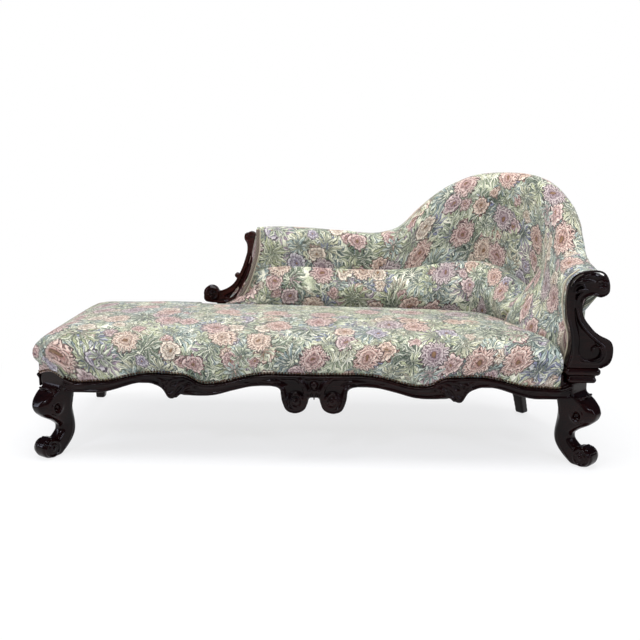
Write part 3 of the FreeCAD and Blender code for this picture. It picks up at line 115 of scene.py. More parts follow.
def smooth_line(points, step, closed=False):
    """Points every step mm along a smooth curve through the given ones."""
    p = np.asarray(points, float)
    if closed:
        p = np.vstack([p[-2:], p, p[:3]])
    length = lengths(p)
    start, end = (length[2], length[-3]) if closed else (0.0, length[-1])
    count = max(4, int((end - start) / step) + 1)
    places = np.linspace(start, end, count, endpoint=not closed)
    return np.stack([spline(np.stack([length, p[:, k]], 1), places) for k in range(p.shape[1])], 1)


def resampled(points, count):
    length = lengths(points)
    places = np.linspace(0, length[-1], count)
    return np.stack([np.interp(places, length, points[:, k]) for k in range(points.shape[1])], 1)


def lengths(points):
    """How far along a line each of its points is."""
    return np.concatenate([[0], np.cumsum(np.linalg.norm(np.diff(points, axis=0), axis=1))])


def linked(name, data):
    obj = bpy.data.objects.new(name, data)
    bpy.context.scene.collection.objects.link(obj)
    return obj


def add_object(name, vertices, faces, uv=None, edges=()):
    mesh = bpy.data.meshes.new(name)
    mesh.from_pydata([tuple(v) for v in vertices], edges, [tuple(f) for f in faces])
    if uv is not None:
        layer = mesh.uv_layers.new(name="cloth")
        corners = np.empty(len(mesh.loops), np.int32)
        mesh.loops.foreach_get("vertex_index", corners)
        layer.data.foreach_set("uv", np.asarray(uv, float)[corners].ravel())
    mesh.update()
    return linked(name, mesh)


def grid_faces(rows, columns, wrap=False):
    faces = []
    for i in range(rows - 1):
        for j in range(columns if wrap else columns - 1):
            k = (j + 1) % columns
            faces.append((i * columns + j, i * columns + k, (i + 1) * columns + k, (i + 1) * columns + j))
    return faces


def baked(obj):
    """Replace an object's mesh with what its modifiers make of it."""
    bpy.context.view_layer.update()
    evaluated = obj.evaluated_get(bpy.context.evaluated_depsgraph_get())
    mesh = bpy.data.meshes.new_from_object(evaluated)
    obj.modifiers.clear()
    obj.data = mesh
    return obj


def shade_smooth(obj):
    obj.data.polygons.foreach_set("use_smooth", [True] * len(obj.data.polygons))
    obj.data.update()
    return obj


def tube(points, radii, sides=10, squash=1.0):
    """A round bar along a line, in drawing millimetres, as (vertices, faces)."""
    p = np.asarray(points, float)
    radii = np.interp(np.linspace(0, 1, len(p)), np.linspace(0, 1, len(radii)), radii)
    along = np.gradient(p, axis=0)
    along /= np.linalg.norm(along, axis=1)[:, None]
    up = np.array([0.0, 1.0, 0.0]) if abs(along[0][1]) < 0.8 else np.array([0.0, 0.0, 1.0])
    vertices = []
    for place, direction, radius in zip(p, along, radii):
        side = np.cross(direction, up)
        side /= np.linalg.norm(side)
        out = np.cross(side, direction)
        for k in range(sides):
            turn = 2 * math.pi * k / sides
            vertices.append(place + radius * (math.cos(turn) * side + squash * math.sin(turn) * out))
    faces = grid_faces(len(p), sides, wrap=True)
    faces += [tuple(range(sides))[::-1], tuple((len(p) - 1) * sides + k for k in range(sides))]
    return np.array(vertices), faces


def ball(centre, radii):
    """An ellipsoid in drawing millimetres."""
    turns = np.linspace(0, 2 * math.pi, 16, endpoint=False)
    rows = []
    for a in np.linspace(0.02, math.pi - 0.02, 9):
        rows.append(np.stack([np.cos(turns) * math.sin(a), np.sin(turns) * math.sin(a),
                              np.full(16, math.cos(a))], 1))
    vertices = np.vstack(rows) * np.asarray(radii, float) + np.asarray(centre, float)
    faces = grid_faces(9, 16, wrap=True)
    faces += [tuple(range(16)), tuple(8 * 16 + k for k in range(16))[::-1]]
    return vertices, faces


def spiral(centre, start, end, turns, first, hand=1):
    """Points of a scroll in the x and z directions, from its outside in."""
    t = np.linspace(0, 1, 40)
    radius = start + (end - start) * t ** 0.8
    angle = first + hand * t * turns * 2 * math.pi
    return np.stack([centre[0] + radius * np.cos(angle), np.full(40, centre[1]),
                     centre[2] + radius * np.sin(angle)], 1)


def ring(centre, radius):
    """A circle in the x and z directions."""
    turns = np.linspace(0, 2 * math.pi, 33)
    return np.stack([centre[0] + radius * np.cos(turns), np.full(33, centre[1]),
                     centre[2] + radius * np.sin(turns)], 1)


def hollow(outline, front, depth, slope):
    """A panel sunk in a face that looks forwards: depth mm deep, with sides slope mm wide."""
    line = smooth_line(outline, 4.0, closed=True)
    ends = np.roll(line, -1, 0)

    def sink(p):
        near = np.where(p[:, 1] < front + 7.0)[0]
        spot = p[near][:, None, [0, 2]]
        run = ends - line
        along = np.clip(((spot - line) * run).sum(2) / (run**2).sum(1), 0, 1)
        gap = np.linalg.norm(spot - line - along[:, :, None] * run, axis=2).min(1)
        crossing = (line[:, 1] > spot[:, :, 1]) != (ends[:, 1] > spot[:, :, 1])
        rise = np.where(np.abs(run[:, 1]) < 1e-6, 1e-6, run[:, 1])
        left = spot[:, :, 0] < line[:, 0] + (spot[:, :, 1] - line[:, 1]) * run[:, 0] / rise
        inside = (crossing & left).sum(1) % 2 == 1
        share = np.clip(gap / slope, 0, 1) * inside
        p[near, 1] += depth * share**2 * (3 - 2 * share)
        return p
    return sink


def skinned(obj, voxel, rounds):
    """Gives an object one even skin, smoothed a few rounds."""
    skin = obj.modifiers.new("skin", "REMESH")
    skin.mode = "VOXEL"
    skin.voxel_size = voxel
    soften = obj.modifiers.new("ease", "SMOOTH")
    soften.factor = 0.5
    soften.iterations = rounds
    return baked(obj)


def carved(name, node, voxel, details, rounds=6, fine=2, dents=()):
    """A CAD node with its edges eased, hollows sunk and carving raised on it, as one skin."""
    base = skinned(linked(name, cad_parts[node].data.copy()), voxel * 1.25, rounds)
    places = (np.array([v.co[:] for v in base.data.vertices]) - ORIGIN) * 1000.0
    for dent in dents:
        places = dent(places)
    vertices = [at(places)]
    faces = [tuple(p.vertices) for p in base.data.polygons]
    count = len(vertices[0])
    for points, sides in details:
        vertices.append(at(points))
        faces += [tuple(i + count for i in side) for side in sides]
        count += len(points)
    bpy.data.objects.remove(base)
    whole = add_object(name, np.vstack(vertices), faces)
    return shade_smooth(skinned(whole, voxel, fine))


# Materials

def linear(code):
    """An sRGB hex colour as linear values."""
    parts = [int(code[i:i + 2], 16) / 255 for i in (0, 2, 4)]
    return tuple(c / 12.92 if c <= 0.04045 else ((c + 0.055) / 1.055) ** 2.4 for c in parts) + (1.0,)


def add(tree, kind, inputs=None, **settings):
    """Adds a node, a shader's without its ShaderNode; inputs are values or the sockets that feed it."""
    other = kind.startswith(("Geometry", "Function", "NodeGroup"))
    node = tree.nodes.new(kind if other else "ShaderNode" + kind)
    for key, value in settings.items():
        setattr(node, key, value)
    for key, value in (inputs or {}).items():
        socket = node.inputs[key]
        if isinstance(value, bpy.types.NodeSocket):
            tree.links.new(value, socket)
        else:
            socket.default_value = value
    return node


def maths(tree, operation, *values):
    return add(tree, "Math", dict(enumerate(values)), operation=operation).outputs[0]


def vectors(tree, operation, *values):
    return add(tree, "VectorMath", dict(enumerate(values)), operation=operation).outputs[0]


def noise(tree, place, scale, detail, space="3D"):
    inputs = {"Vector": place, "Scale": scale, "Detail": detail}
    return add(tree, "TexNoise", inputs, noise_dimensions=space).outputs


def mixed(tree, share, a, b, mode="MIX"):
    """Mixes two colours, each a socket, four values or a hex colour."""
    node = add(tree, "Mix", data_type="RGBA", blend_type=mode)
    for key, value in ((0, share), (6, a), (7, b)):
        if isinstance(value, bpy.types.NodeSocket):
            tree.links.new(value, node.inputs[key])
        else:
            node.inputs[key].default_value = linear(value) if isinstance(value, str) else value
    return node.outputs[2]


def ramp(tree, value, stops, interpolation="LINEAR"):
    node = add(tree, "ValToRGB", {"Fac": value})
    node.color_ramp.interpolation = interpolation
    elements = node.color_ramp.elements
    while len(elements) < len(stops):
        elements.new(0.5)
    for element, (place, colour) in zip(elements, stops):
        element.position = place
        element.color = linear(colour) if isinstance(colour, str) else (colour,) * 3 + (1.0,)
    return node.outputs[0]


def material(name, rough=0.5, **sockets):
    made = bpy.data.materials.new(name)
    made.use_nodes = True
    shader = made.node_tree.nodes["Principled BSDF"]
    shader.inputs["Roughness"].default_value = rough
    for key, value in sockets.items():
        shader.inputs[key.replace("_", " ")].default_value = value
    return made, made.node_tree, shader


def bumped(tree, shader, colour, height, strength, distance):
    """Gives a shader its colour, and a height as bump, metres deep."""
    tree.links.new(colour, shader.inputs["Base Color"])
    bump = add(tree, "Bump", {"Height": height, "Strength": strength, "Distance": distance})
    tree.links.new(bump.outputs[0], shader.inputs["Normal"])


def cell_frame(tree, coordinates, pitch, seed, wander):
    """Cells of a pattern: place inside the cell as a distance and an angle, and the cell's chances."""
    op = partial(maths, tree)
    scaled = vectors(tree, "MULTIPLY", coordinates, (1 / pitch, 1 / pitch, 0))
    moved = vectors(tree, "ADD", scaled, (seed * 3.7, seed * 1.9, 0))
    cells = add(tree, "TexVoronoi", {"Vector": moved, "Scale": 1.0, "Randomness": wander},
                voronoi_dimensions="2D")
    local = vectors(tree, "SUBTRACT", moved, cells.outputs["Position"])
    split = add(tree, "SeparateXYZ", {0: local})
    chance = add(tree, "SeparateColor", {0: cells.outputs["Color"]})
    x, y = split.outputs[0], split.outputs[1]
    radius = op("SQRT", op("ADD", op("MULTIPLY", x, x), op("MULTIPLY", y, y)))
    angle = op("ARCTAN2", y, x)
    turned = op("ADD", angle, op("MULTIPLY", chance.outputs[0], 6.283))
    return radius, turned, chance.outputs[1], chance.outputs[2]


def bloom(tree, under, coordinates, pitch, seed, size, petals, rows, colours, share, wander=0.75):
    """A layer of full flowers: rows of narrow petals, pale at their tips, with dark lines between."""
    op = partial(maths, tree)
    radius, angle, chance, other = cell_frame(tree, coordinates, pitch, seed, wander)
    tips = op("ABSOLUTE", op("SINE", op("MULTIPLY", angle, petals / 2)))
    edge = op("MULTIPLY_ADD", op("POWER", tips, 0.7), 0.26 * size, 0.76 * size)
    inside = op("DIVIDE", radius, edge)
    rings = op("MULTIPLY", op("POWER", inside, 0.8), rows)
    turn = op("MULTIPLY_ADD", op("FLOOR", rings), 3.1416 / petals, angle)
    folds = op("ABSOLUTE", op("SINE", op("MULTIPLY", turn, petals / 2)))
    cup = op("FRACT", op("MULTIPLY_ADD", folds, 0.35, rings))
    tone = ramp(tree, chance, [(i / len(colours), c) for i, c in enumerate(colours)], "CONSTANT")
    pale = mixed(tree, 0.66, tone, "FBF4E4")
    deep = mixed(tree, 0.8, tone, "93585C", "MULTIPLY")
    body = mixed(tree, op("POWER", cup, 0.8), deep, pale)
    body = mixed(tree, op("MULTIPLY_ADD", inside, -0.9, 0.6), body, mixed(tree, 0.5, tone, "5A2F36"))
    body = mixed(tree, op("LESS_THAN", inside, 0.14), body, "8A6A4E")
    seam = op("MAXIMUM", op("LESS_THAN", cup, 0.16), op("LESS_THAN", folds, 0.2))
    seam = op("MAXIMUM", seam, op("GREATER_THAN", inside, 0.93))
    body = mixed(tree, op("MULTIPLY", seam, 0.85), body, "33262A")
    mask = op("MULTIPLY", op("LESS_THAN", inside, 1.0), op("LESS_THAN", other, share))
    return mixed(tree, mask, under, body)


def leaves(tree, under, coordinates, pitch, seed, length, blades, colours, share, wander=0.9):
    """A layer of sprays of narrow leaves, each half light and half dark, with a dark edge."""
    op = partial(maths, tree)
    radius, angle, chance, other = cell_frame(tree, coordinates, pitch, seed, wander)
    sector = op("SUBTRACT", op("FRACT", op("MULTIPLY", angle, blades / 6.283)), 0.5)
    across = op("ABSOLUTE", sector)
    along = op("DIVIDE", radius, length)
    bow = op("MULTIPLY", op("SINE", op("MULTIPLY", along, 3.1416)), 0.42)
    inside = op("DIVIDE", across, op("MAXIMUM", bow, 0.001))
    mask = op("MULTIPLY", op("LESS_THAN", inside, 1.0), op("LESS_THAN", along, 1.0))
    mask = op("MULTIPLY", mask, op("LESS_THAN", other, share))
    tone = ramp(tree, chance, [(i / len(colours), c) for i, c in enumerate(colours)], "CONSTANT")
    light = mixed(tree, 0.74, tone, "F6F6E2")
    veins = op("FRACT", op("MULTIPLY_ADD", across, -7.0, op("MULTIPLY", along, 6.0)))
    half = op("MULTIPLY_ADD", op("GREATER_THAN", sector, 0.0), 0.6,
                 op("MULTIPLY", op("LESS_THAN", veins, 0.35), 0.4))
    tone = mixed(tree, half, tone, light)
    tone = mixed(tree, op("MULTIPLY_ADD", along, -1.5, 1.0), tone, "38433A")
    dark = op("MAXIMUM", op("LESS_THAN", inside, 0.12), op("GREATER_THAN", inside, 0.78))
    return mixed(tree, mask, under, mixed(tree, op("MULTIPLY", dark, 0.9), tone, "252C28"))


def tapestry_material():
    """Jacquard tapestry of wool and cotton: flowers and leaf sprays on a pale ground, 1 mm a thread."""
    made, tree, shader = material("jacquard_tapestry", 0.88, Sheen_Weight=0.15, Specular_IOR_Level=0.2)
    op = partial(maths, tree)
    uv = add(tree, "UVMap", uv_map="cloth").outputs[0]
    drift = noise(tree, uv, 30.0, 2.0, "2D")
    offset = vectors(tree, "SUBTRACT", drift["Color"], (0.5, 0.5, 0.5))
    offset = add(tree, "VectorMath", {0: offset, "Scale": 0.030}, operation="SCALE").outputs[0]
    bent = vectors(tree, "ADD", uv, offset)
    patches = noise(tree, uv, 11.0, 3.0, "2D")["Fac"]
    colour = ramp(tree, patches, [(0.30, "4E584A"), (0.46, "C4C8AA"), (0.62, "F3F1DC")])
    greens = ["66765E", "8E9A78", "55686A", "9DA27A", "7A8C8E", "4C5A4B"]
    pales = ["B9BE94", "A3AC90", "C4C2A2", "9FB0AA"]
    dulls = ["75789A", "9C8298", "86989C", "B3A58C"]
    flowers = ["BE7F80", "8482B4", "D2A584", "E0D4B4", "A87488"]
    roses = ["A8585A", "C07F6C", "865A80", "B0686E", "D2B090"]
    for layer, *sizes in (
            (leaves, 0.070, 1.0, 0.66, 9.0, greens, 0.95), (leaves, 0.090, 3.0, 0.62, 11.0, dulls, 0.70),
            (leaves, 0.105, 5.0, 0.62, 11.0, pales, 0.85),
            (bloom, 0.075, 2.0, 0.33, 9.0, 2.2, flowers, 0.40),
            (leaves, 0.135, 9.0, 0.52, 12.0, greens, 0.60),
            (bloom, 0.120, 4.0, 0.32, 11.0, 3.1, flowers, 0.60),
            (leaves, 0.100, 13.0, 0.42, 9.0, pales, 0.35),
            (bloom, 0.175, 6.0, 0.285, 15.0, 4.2, roses, 0.80, 0.65)):
        colour = layer(tree, colour, bent, *sizes)
    lines = noise(tree, bent, 150.0, 1.0, "2D")["Fac"]
    ridge = op("ABSOLUTE", op("SUBTRACT", lines, 0.5))
    colour = mixed(tree, op("MULTIPLY", op("LESS_THAN", ridge, 0.035), 0.5), colour, "39403A")
    thread = noise(tree, uv, 620.0, 2.0, "2D")["Fac"]
    weave = ramp(tree, thread, [(0.3, 0.55), (0.65, 1.0)])
    colour = mixed(tree, 0.4, colour, weave, "MULTIPLY")
    weft = add(tree, "TexWave", {"Vector": uv, "Scale": 160.0, "Distortion": 1.0}, bands_direction="Y")
    height = op("MULTIPLY_ADD", weft.outputs["Fac"], 0.5, thread)
    bumped(tree, shader, colour, height, 0.35, 0.0008)
    return made


def mahogany_material(name, dark, light):
    """French-polished mahogany, stained very dark; the grain runs along x, 2 to 4 mm wide."""
    made, tree, shader = material(name, 0.2, Coat_Weight=0.05, Coat_Roughness=0.08, Specular_IOR_Level=0.12)
    place = add(tree, "TexCoord").outputs["Object"]
    stretched = vectors(tree, "MULTIPLY", place, (9.0, 90.0, 90.0))
    grain = add(tree, "TexNoise", {"Vector": stretched, "Scale": 2.2, "Detail": 6.0, "Distortion": 0.6})
    clouds = noise(tree, place, 9.0, 3.0)["Fac"]
    share = maths(tree, "MULTIPLY", grain.outputs["Fac"], clouds)
    colour = ramp(tree, share, [(0.12, dark), (0.42, light)])
    rough = maths(tree, "MULTIPLY_ADD", clouds, 0.22, 0.06)
    tree.links.new(rough, shader.inputs["Roughness"])
    bumped(tree, shader, colour, clouds, 0.15, 0.003)
    return made


def plain_material(name, code, rough, scale, contrast=0.75):
    """Plain stuff such as raw timber, jute or black cotton, with a fine mottle of its own."""
    made, tree, shader = material(name, rough)
    place = add(tree, "TexCoord").outputs["Object"]
    mottle = noise(tree, place, scale, 4.0)["Fac"]
    tone = ramp(tree, mottle, [(0.3, contrast), (0.7, 1.0)])
    bumped(tree, shader, mixed(tree, 1.0, code, tone, "MULTIPLY"), mottle, 0.3, 0.001)
    return made


def stud_material():
    """Bronzed steel upholstery nails, 7 mm over the head, with worn highlights."""
    made, tree, shader = material("bronzed_nails", 0.30, Metallic=1.0)
    place = add(tree, "TexCoord").outputs["Object"]
    wear = noise(tree, place, 180.0, 2.0)["Fac"]
    colour = ramp(tree, wear, [(0.35, "2C201A"), (0.65, "7A6450")])
    tree.links.new(colour, shader.inputs["Base Color"])
    return made


def braid_material():
    """Woven gimp, 12 mm wide, with slanting dark cords over a dull ground."""
    made, tree, shader = material("woven_gimp", 0.8, Sheen_Weight=0.2)
    uv = add(tree, "UVMap", uv_map="cloth").outputs[0]
    turned = add(tree, "Mapping", {"Vector": uv, "Rotation": (0, 0, 0.7)}).outputs[0]
    cords = add(tree, "TexWave", {"Vector": turned, "Scale": 75.0}, bands_direction="X")
    colour = ramp(tree, cords.outputs["Fac"], [(0.25, "2B2220"), (0.6, "6E5E55"), (0.9, "A3937F")])
    bumped(tree, shader, colour, cords.outputs["Fac"], 0.8, 0.002)
    return made


TAPESTRY = tapestry_material()
MAHOGANY = mahogany_material("polished_mahogany", "050203", "1C0908")
WARM_MAHOGANY = mahogany_material("rubbed_mahogany", "0A0303", "3C150E")
TIMBER = plain_material("sawn_beech", "A9825A", 0.7, 60.0)
JUTE = plain_material("jute_webbing", "8A7048", 0.9, 300.0)
BLACK_CLOTH = plain_material("black_cotton", "1B1A1A", 0.9, 500.0)
STEEL = plain_material("drawn_steel", "8C8884", 0.35, 200.0)
STUDS = stud_material()
BRAID = braid_material()
CORD = plain_material("pale_cord", "C9BFA6", 0.85, 700.0)
NODE_MATERIALS = {
    **dict.fromkeys(("front_web_rail", "web_battens", "seat_braces", "back_low_rail", "corner_low_rail",
                     "arm_low_rail", "back_top_rail", "corner_top_rail", "arm_top_rail",
                     "wall_uprights"), TIMBER),
    "back_webs": JUTE, "long_webs": JUTE, "cross_webs": JUTE, "seat_springs": STEEL,
}


def finished(obj, stuff, nodes=()):
    obj.data.materials.clear()
    obj.data.materials.append(stuff)
    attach(obj, "root")
    if nodes:
        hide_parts(*nodes)
    return obj


# Back, lower roll and arm

def wall_xy(s, n):
    """Plan of the wall: place along its outer line and distance inwards."""
    s, n = np.broadcast_arrays(np.asarray(s, float), np.asarray(n, float))
    turn = np.clip(s, 0, ARC) / CORNER_RADIUS
    x = CORNER_X + np.sin(turn) * (CORNER_RADIUS - n) + np.minimum(s, 0)
    y = CORNER_Y + np.cos(turn) * (CORNER_RADIUS - n)
    forward = np.maximum(s - ARC, 0)
    taper = 35.0 * (forward / CORNER_Y) ** 2
    return x - taper, y - forward


def section(points, rows):
    """A smooth section through (inward, height) points, with an even number of rows."""
    return resampled(smooth_line(points, 3.0), rows)


def wall_points(row):
    top, drop, over, high, middle, low = row
    under = top - drop
    shoulder = top - 38.0
    waist = 0.5 * (shoulder + SEAT_LEVEL)
    return [
        (2.5, RAIL_TOP), (2.5, 0.5 * (RAIL_TOP + under)), (2.5, under - 40), (2.0, under - 15),
        (0.5, under - 6), (-over * 0.5, under - 1), (-over * 0.9, top - drop * 0.8),
        (-over, top - drop * 0.45), (-over * 0.5, top - drop * 0.12),
        ((high - over) / 2, top), (high - 12, top - 12), (high, shoulder),
        (0.5 * (high + middle) + 3, 0.5 * (shoulder + waist)), (middle, waist),
        (0.5 * (middle + low), 0.5 * (waist + SEAT_LEVEL)), (low, SEAT_LEVEL), (low, RAIL_TOP + 2),
    ]


def roll_points(s, top, reach, back):
    height = top - SEAT_LEVEL
    lean = np.clip((s - WALL_START) / 170.0, 0, 1)
    lean = lean * lean * (3 - 2 * lean)
    bulge = 14.0 - (reach + 20.0 - back) * (1 - lean)
    return [
        (back + 1, top - 30), (back + 3, top - 5), (back + 0.2 * (reach - back), top + 1),
        (back + 0.62 * (reach + bulge - back), top - 0.2 * height),
        (reach + bulge, SEAT_LEVEL + 0.45 * height),
        (reach + 0.7 * bulge * lean, SEAT_LEVEL + 0.12 * height),
        (reach, SEAT_LEVEL - 20), (reach, RAIL_TOP + 2),
    ]


def scroll_limit(z):
    return np.interp(-z, -SCROLL_INNER[:, 1], SCROLL_INNER[:, 0]) + 2.0


def strip(name, start, end, make_points, rows, step, cut_by_scroll, round_ends, puff,
          cut=(0.0, 0.0)):
    """Upholstery along the wall: sections at even places, tucked in at its ends."""
    count = int((end - start) / step) + 1
    places = np.linspace(start, end, count)
    outline = np.array([section(make_points(s), rows) for s in places])
    share = np.linspace(0, 1, count)
    s = np.repeat(places[:, None], rows, 1)
    if cut_by_scroll:
        first = scroll_limit(outline[0, :, 1])
        fade = np.clip((places[:, None] - start) / TUCK, 0, 1)
        moved = first[None, :] + (places[:, None] - start) * (start + TUCK - first[None, :]) / TUCK
        s = np.where(fade < 1, moved, s)
    n, z = outline[:, :, 0].copy(), outline[:, :, 1].copy()
    middle = n.mean(1, keepdims=True), z.mean(1, keepdims=True)
    for reach, distance in zip(round_ends, ((places - start)[:, None], (end - places)[:, None])):
        if reach > 0:
            k = np.clip(distance / reach, 0, 1)
            inward = reach * 0.5 * (1 - np.sqrt(1 - (1 - k) ** 2))
            size = np.hypot(n - middle[0], z - middle[1])
            n -= (n - middle[0]) / size * inward
            z -= np.where(z > SEAT_LEVEL, (z - middle[1]) / size * inward, 0)
    x, y = wall_xy(s, n)
    length = lengths(outline[count // 2])
    swell = puff * RNG.normal(size=(7, 5))
    bumps = sum(swell[a, b] * np.sin((a + 1) * 6.0 * share[:, None] + b)
                * np.cos((b + 1) * length[None, :] / 90.0 + a) for a in range(7) for b in range(5))
    z = z + np.where(z > SEAT_LEVEL, bumps, 0)
    drawn = np.hypot(np.diff(outline[:, :, 0], axis=1), np.diff(outline[:, :, 1], axis=1))
    rise = np.concatenate([np.zeros((count, 1)), np.cumsum(drawn, 1)], 1)
    peak = np.argmax(outline[:, :, 1], 1)
    rise -= rise[np.arange(count), peak][:, None]
    uv = np.stack([s, -rise], 2) + np.array(cut)
    place = np.stack([x, y, z], 2)
    caps = [[t * ends[i] + (1 - t) * ends[i].mean(0) for t in (0.0, 0.4, 0.8)]
            for ends in (place, uv) for i in (0, -1)]
    place = np.concatenate([caps[0], place, caps[1][::-1]])
    uv = np.concatenate([caps[2], uv, caps[3][::-1]])
    return add_object(name, at(place.reshape(-1, 3)), grid_faces(count + 6, rows),
                      uv.reshape(-1, 2) / 1000.0)


def thickened(obj, thickness, outwards=False):
    """Gives a sheet its thickness, inwards from the drawn side."""
    solid = obj.modifiers.new("thickness", "SOLIDIFY")
    solid.thickness = thickness / 1000.0
    solid.offset = 1.0 if outwards else -1.0
    baked(obj)
    return shade_smooth(obj)


def table_row(table, s):
    return [float(spline(table, s, k)) for k in range(1, table.shape[1])]


def outward(obj, inside):
    """Turns all faces away from a point inside the padding, in drawing mm."""
    mesh = obj.data
    centre = Vector(at(inside))
    face = max(mesh.polygons, key=lambda p: (p.center.z, p.area))
    if (face.center - centre).dot(face.normal) < 0:
        mesh.flip_normals()
    return obj


back = strip("back_upholstery", WALL_START, ARM_START + 2.0, lambda s: wall_points(table_row(BACK, s)),
             110, 7.0, True, (0.0, 16.0), 0.25)
thickened(outward(back, (0, 600, 600)), 3.0)
finished(back, TAPESTRY, ("back_cover", "back_stuffing", "outside_back_cover", "back_hessian"))

lumbar = strip("lower_back_roll", WALL_START, ARM_START + 2.0,
               lambda s: roll_points(s, *table_row(LUMBAR, s), max(table_row(BACK, s)[4:6]) - 6),
               60, 7.0, True, (0.0, 14.0), 0.35, (410.0, 730.0))
thickened(outward(lumbar, (0, 560, 300)), 3.0)
finished(lumbar, TAPESTRY, ("lumbar_cover", "lumbar_stuffing"))

arm = strip("arm_upholstery", ARM_START - 2.0, ARM_END, lambda s: wall_points(table_row(ARM, s)),
            110, 5.0, False, (18.0, 14.0), 0.3)
thickened(outward(arm, (800, 200, 500)), 3.0)
finished(arm, TAPESTRY, ("arm_cover", "arm_stuffing", "outside_arm_cover", "arm_hessian"))


# Seat

def seat_plan():
    """Corners of the seat in plan, with the side each run belongs to."""
    arm_place = ARM_END - 191.0
    hidden = [wall_xy(arm_place, spline(ARM, arm_place, 6) + 3)]
    for s in (ARM_START, 217.0, 37.0, -203.0, -811.0):
        hidden.append(wall_xy(s, spline(LUMBAR, s, 2) + 3))
    hidden = [(float(x), float(y)) for x, y in hidden]
    last = hidden[-1]
    corners = [((FOOT_FACE + FOOT_CANT[0], 0.0), "front"), ((789.0, 0.0), "hidden")]
    corners += [(p, "hidden") for p in hidden]
    corners += [((STEP_X, last[1] + 0.06 * (last[0] - STEP_X)), "step"), ((STEP_X, DEPTH), "back"),
                ((FOOT_FACE + 30.0, DEPTH), "corner"), ((FOOT_FACE, DEPTH - 30.0), "left"),
                ((FOOT_FACE, FOOT_CANT[1]), "cant")]
    return corners


def inset_plan(corners, depths):
    lines = []
    count = len(corners)
    for i, (point, side) in enumerate(corners):
        p = np.array(point)
        along = np.array(corners[(i + 1) % count][0]) - p
        along /= np.linalg.norm(along)
        lines.append((p + np.array([-along[1], along[0]]) * depths[side], along))
    result = []
    for i in range(count):
        (a, u), (b, v) = lines[i - 1], lines[i]
        cross = u[0] * v[1] - u[1] * v[0]
        if abs(cross) < 0.02:
            result.append(b)
            continue
        t = ((b - a)[0] * v[1] - (b - a)[1] * v[0]) / cross
        result.append(a + u * t)
    return np.array(result)


def rounded_plan(corners, share, per_side):
    """Each side as straight run plus a rounded corner, always with the same number of points."""
    count = len(corners)
    points = []
    for i in range(count):
        before, here, after = corners[i - 1], corners[i], corners[(i + 1) % count]
        a = here + (before - here) * share[i][0]
        b = here + (after - here) * share[i][1]
        for t in np.linspace(0, 1, 9):
            points.append((1 - t) ** 2 * a + 2 * t * (1 - t) * here + t ** 2 * b)
        following = share[(i + 1) % count][0]
        end = after + (here - after) * following
        for t in np.linspace(0, 1, per_side[i] + 2)[1:-1]:
            points.append(b + (end - b) * t)
    return np.array(points)


SEAT_PROFILE = [
    (0.0, -3.5, 0.0, -3.5), (0.06, -8.0, 0.0, -5.0), (0.15, -14.0, 0.0, -6.0), (0.27, -17.0, 0.0, -7.0),
    (0.4, -16.5, 0.0, -6.0), (0.52, -12.0, 0.5, -3.0), (0.64, -3.0, 1.5, 3.0), (0.75, 12.0, 3.5, 14.0),
    (0.84, 33.0, 8.0, 30.0), (0.91, 60.0, 16.0, 52.0), (0.965, 96.0, 34.0, 84.0), (1.0, 150.0, 70.0, 130.0),
]


def seat_ring(free, hidden, back_side, ease):
    left = min(free, free * 1.5)          # the foot end swells more than the front
    depths = {"front": free, "cant": max(left, free * 1.2), "left": left, "corner": max(free, free * 1.3),
              "back": back_side, "step": 0.0, "hidden": hidden}
    plan = inset_plan(SEAT_CORNERS, depths)
    free_corners = len(SEAT_CORNERS) - 7
    sharp = [(0.30, 0.03), (0.007, 0.1)] + [(0.3, 0.3)] * free_corners
    sharp += [(0.12, 0.1), (0.1, 0.3), (0.3, 0.3), (0.3, 0.25), (0.08, 0.30)]
    runs = [170, 24] + [26] * free_corners + [6, 10, 3, 60, 6]
    sharp = [(a * ease, b * ease) for a, b in sharp]
    return rounded_plan(plan, sharp, runs)


SEAT_CORNERS = seat_plan()


def trim_height(point):
    """Lower edge of the cover at a place of the seat's outline."""
    x, y = point
    if y < 30.0 and x > FOOT_FACE + FOOT_CANT[0] + 2:
        return float(spline(TRIM, abs(x)))
    if x < FOOT_FACE + FOOT_CANT[0] + 4 and y < FOOT_CANT[1] + 4:
        share = np.clip((x - FOOT_FACE) / FOOT_CANT[0], 0, 1)
        return 259.0 + 15.0 * math.sin(math.pi * share)
    if x < FOOT_FACE + 25.0:
        return float(spline(FOOT_TRIM, y))
    if y > DEPTH - 45.0 and x < STEP_X:
        return 264.0
    return RAIL_TOP - 1.0


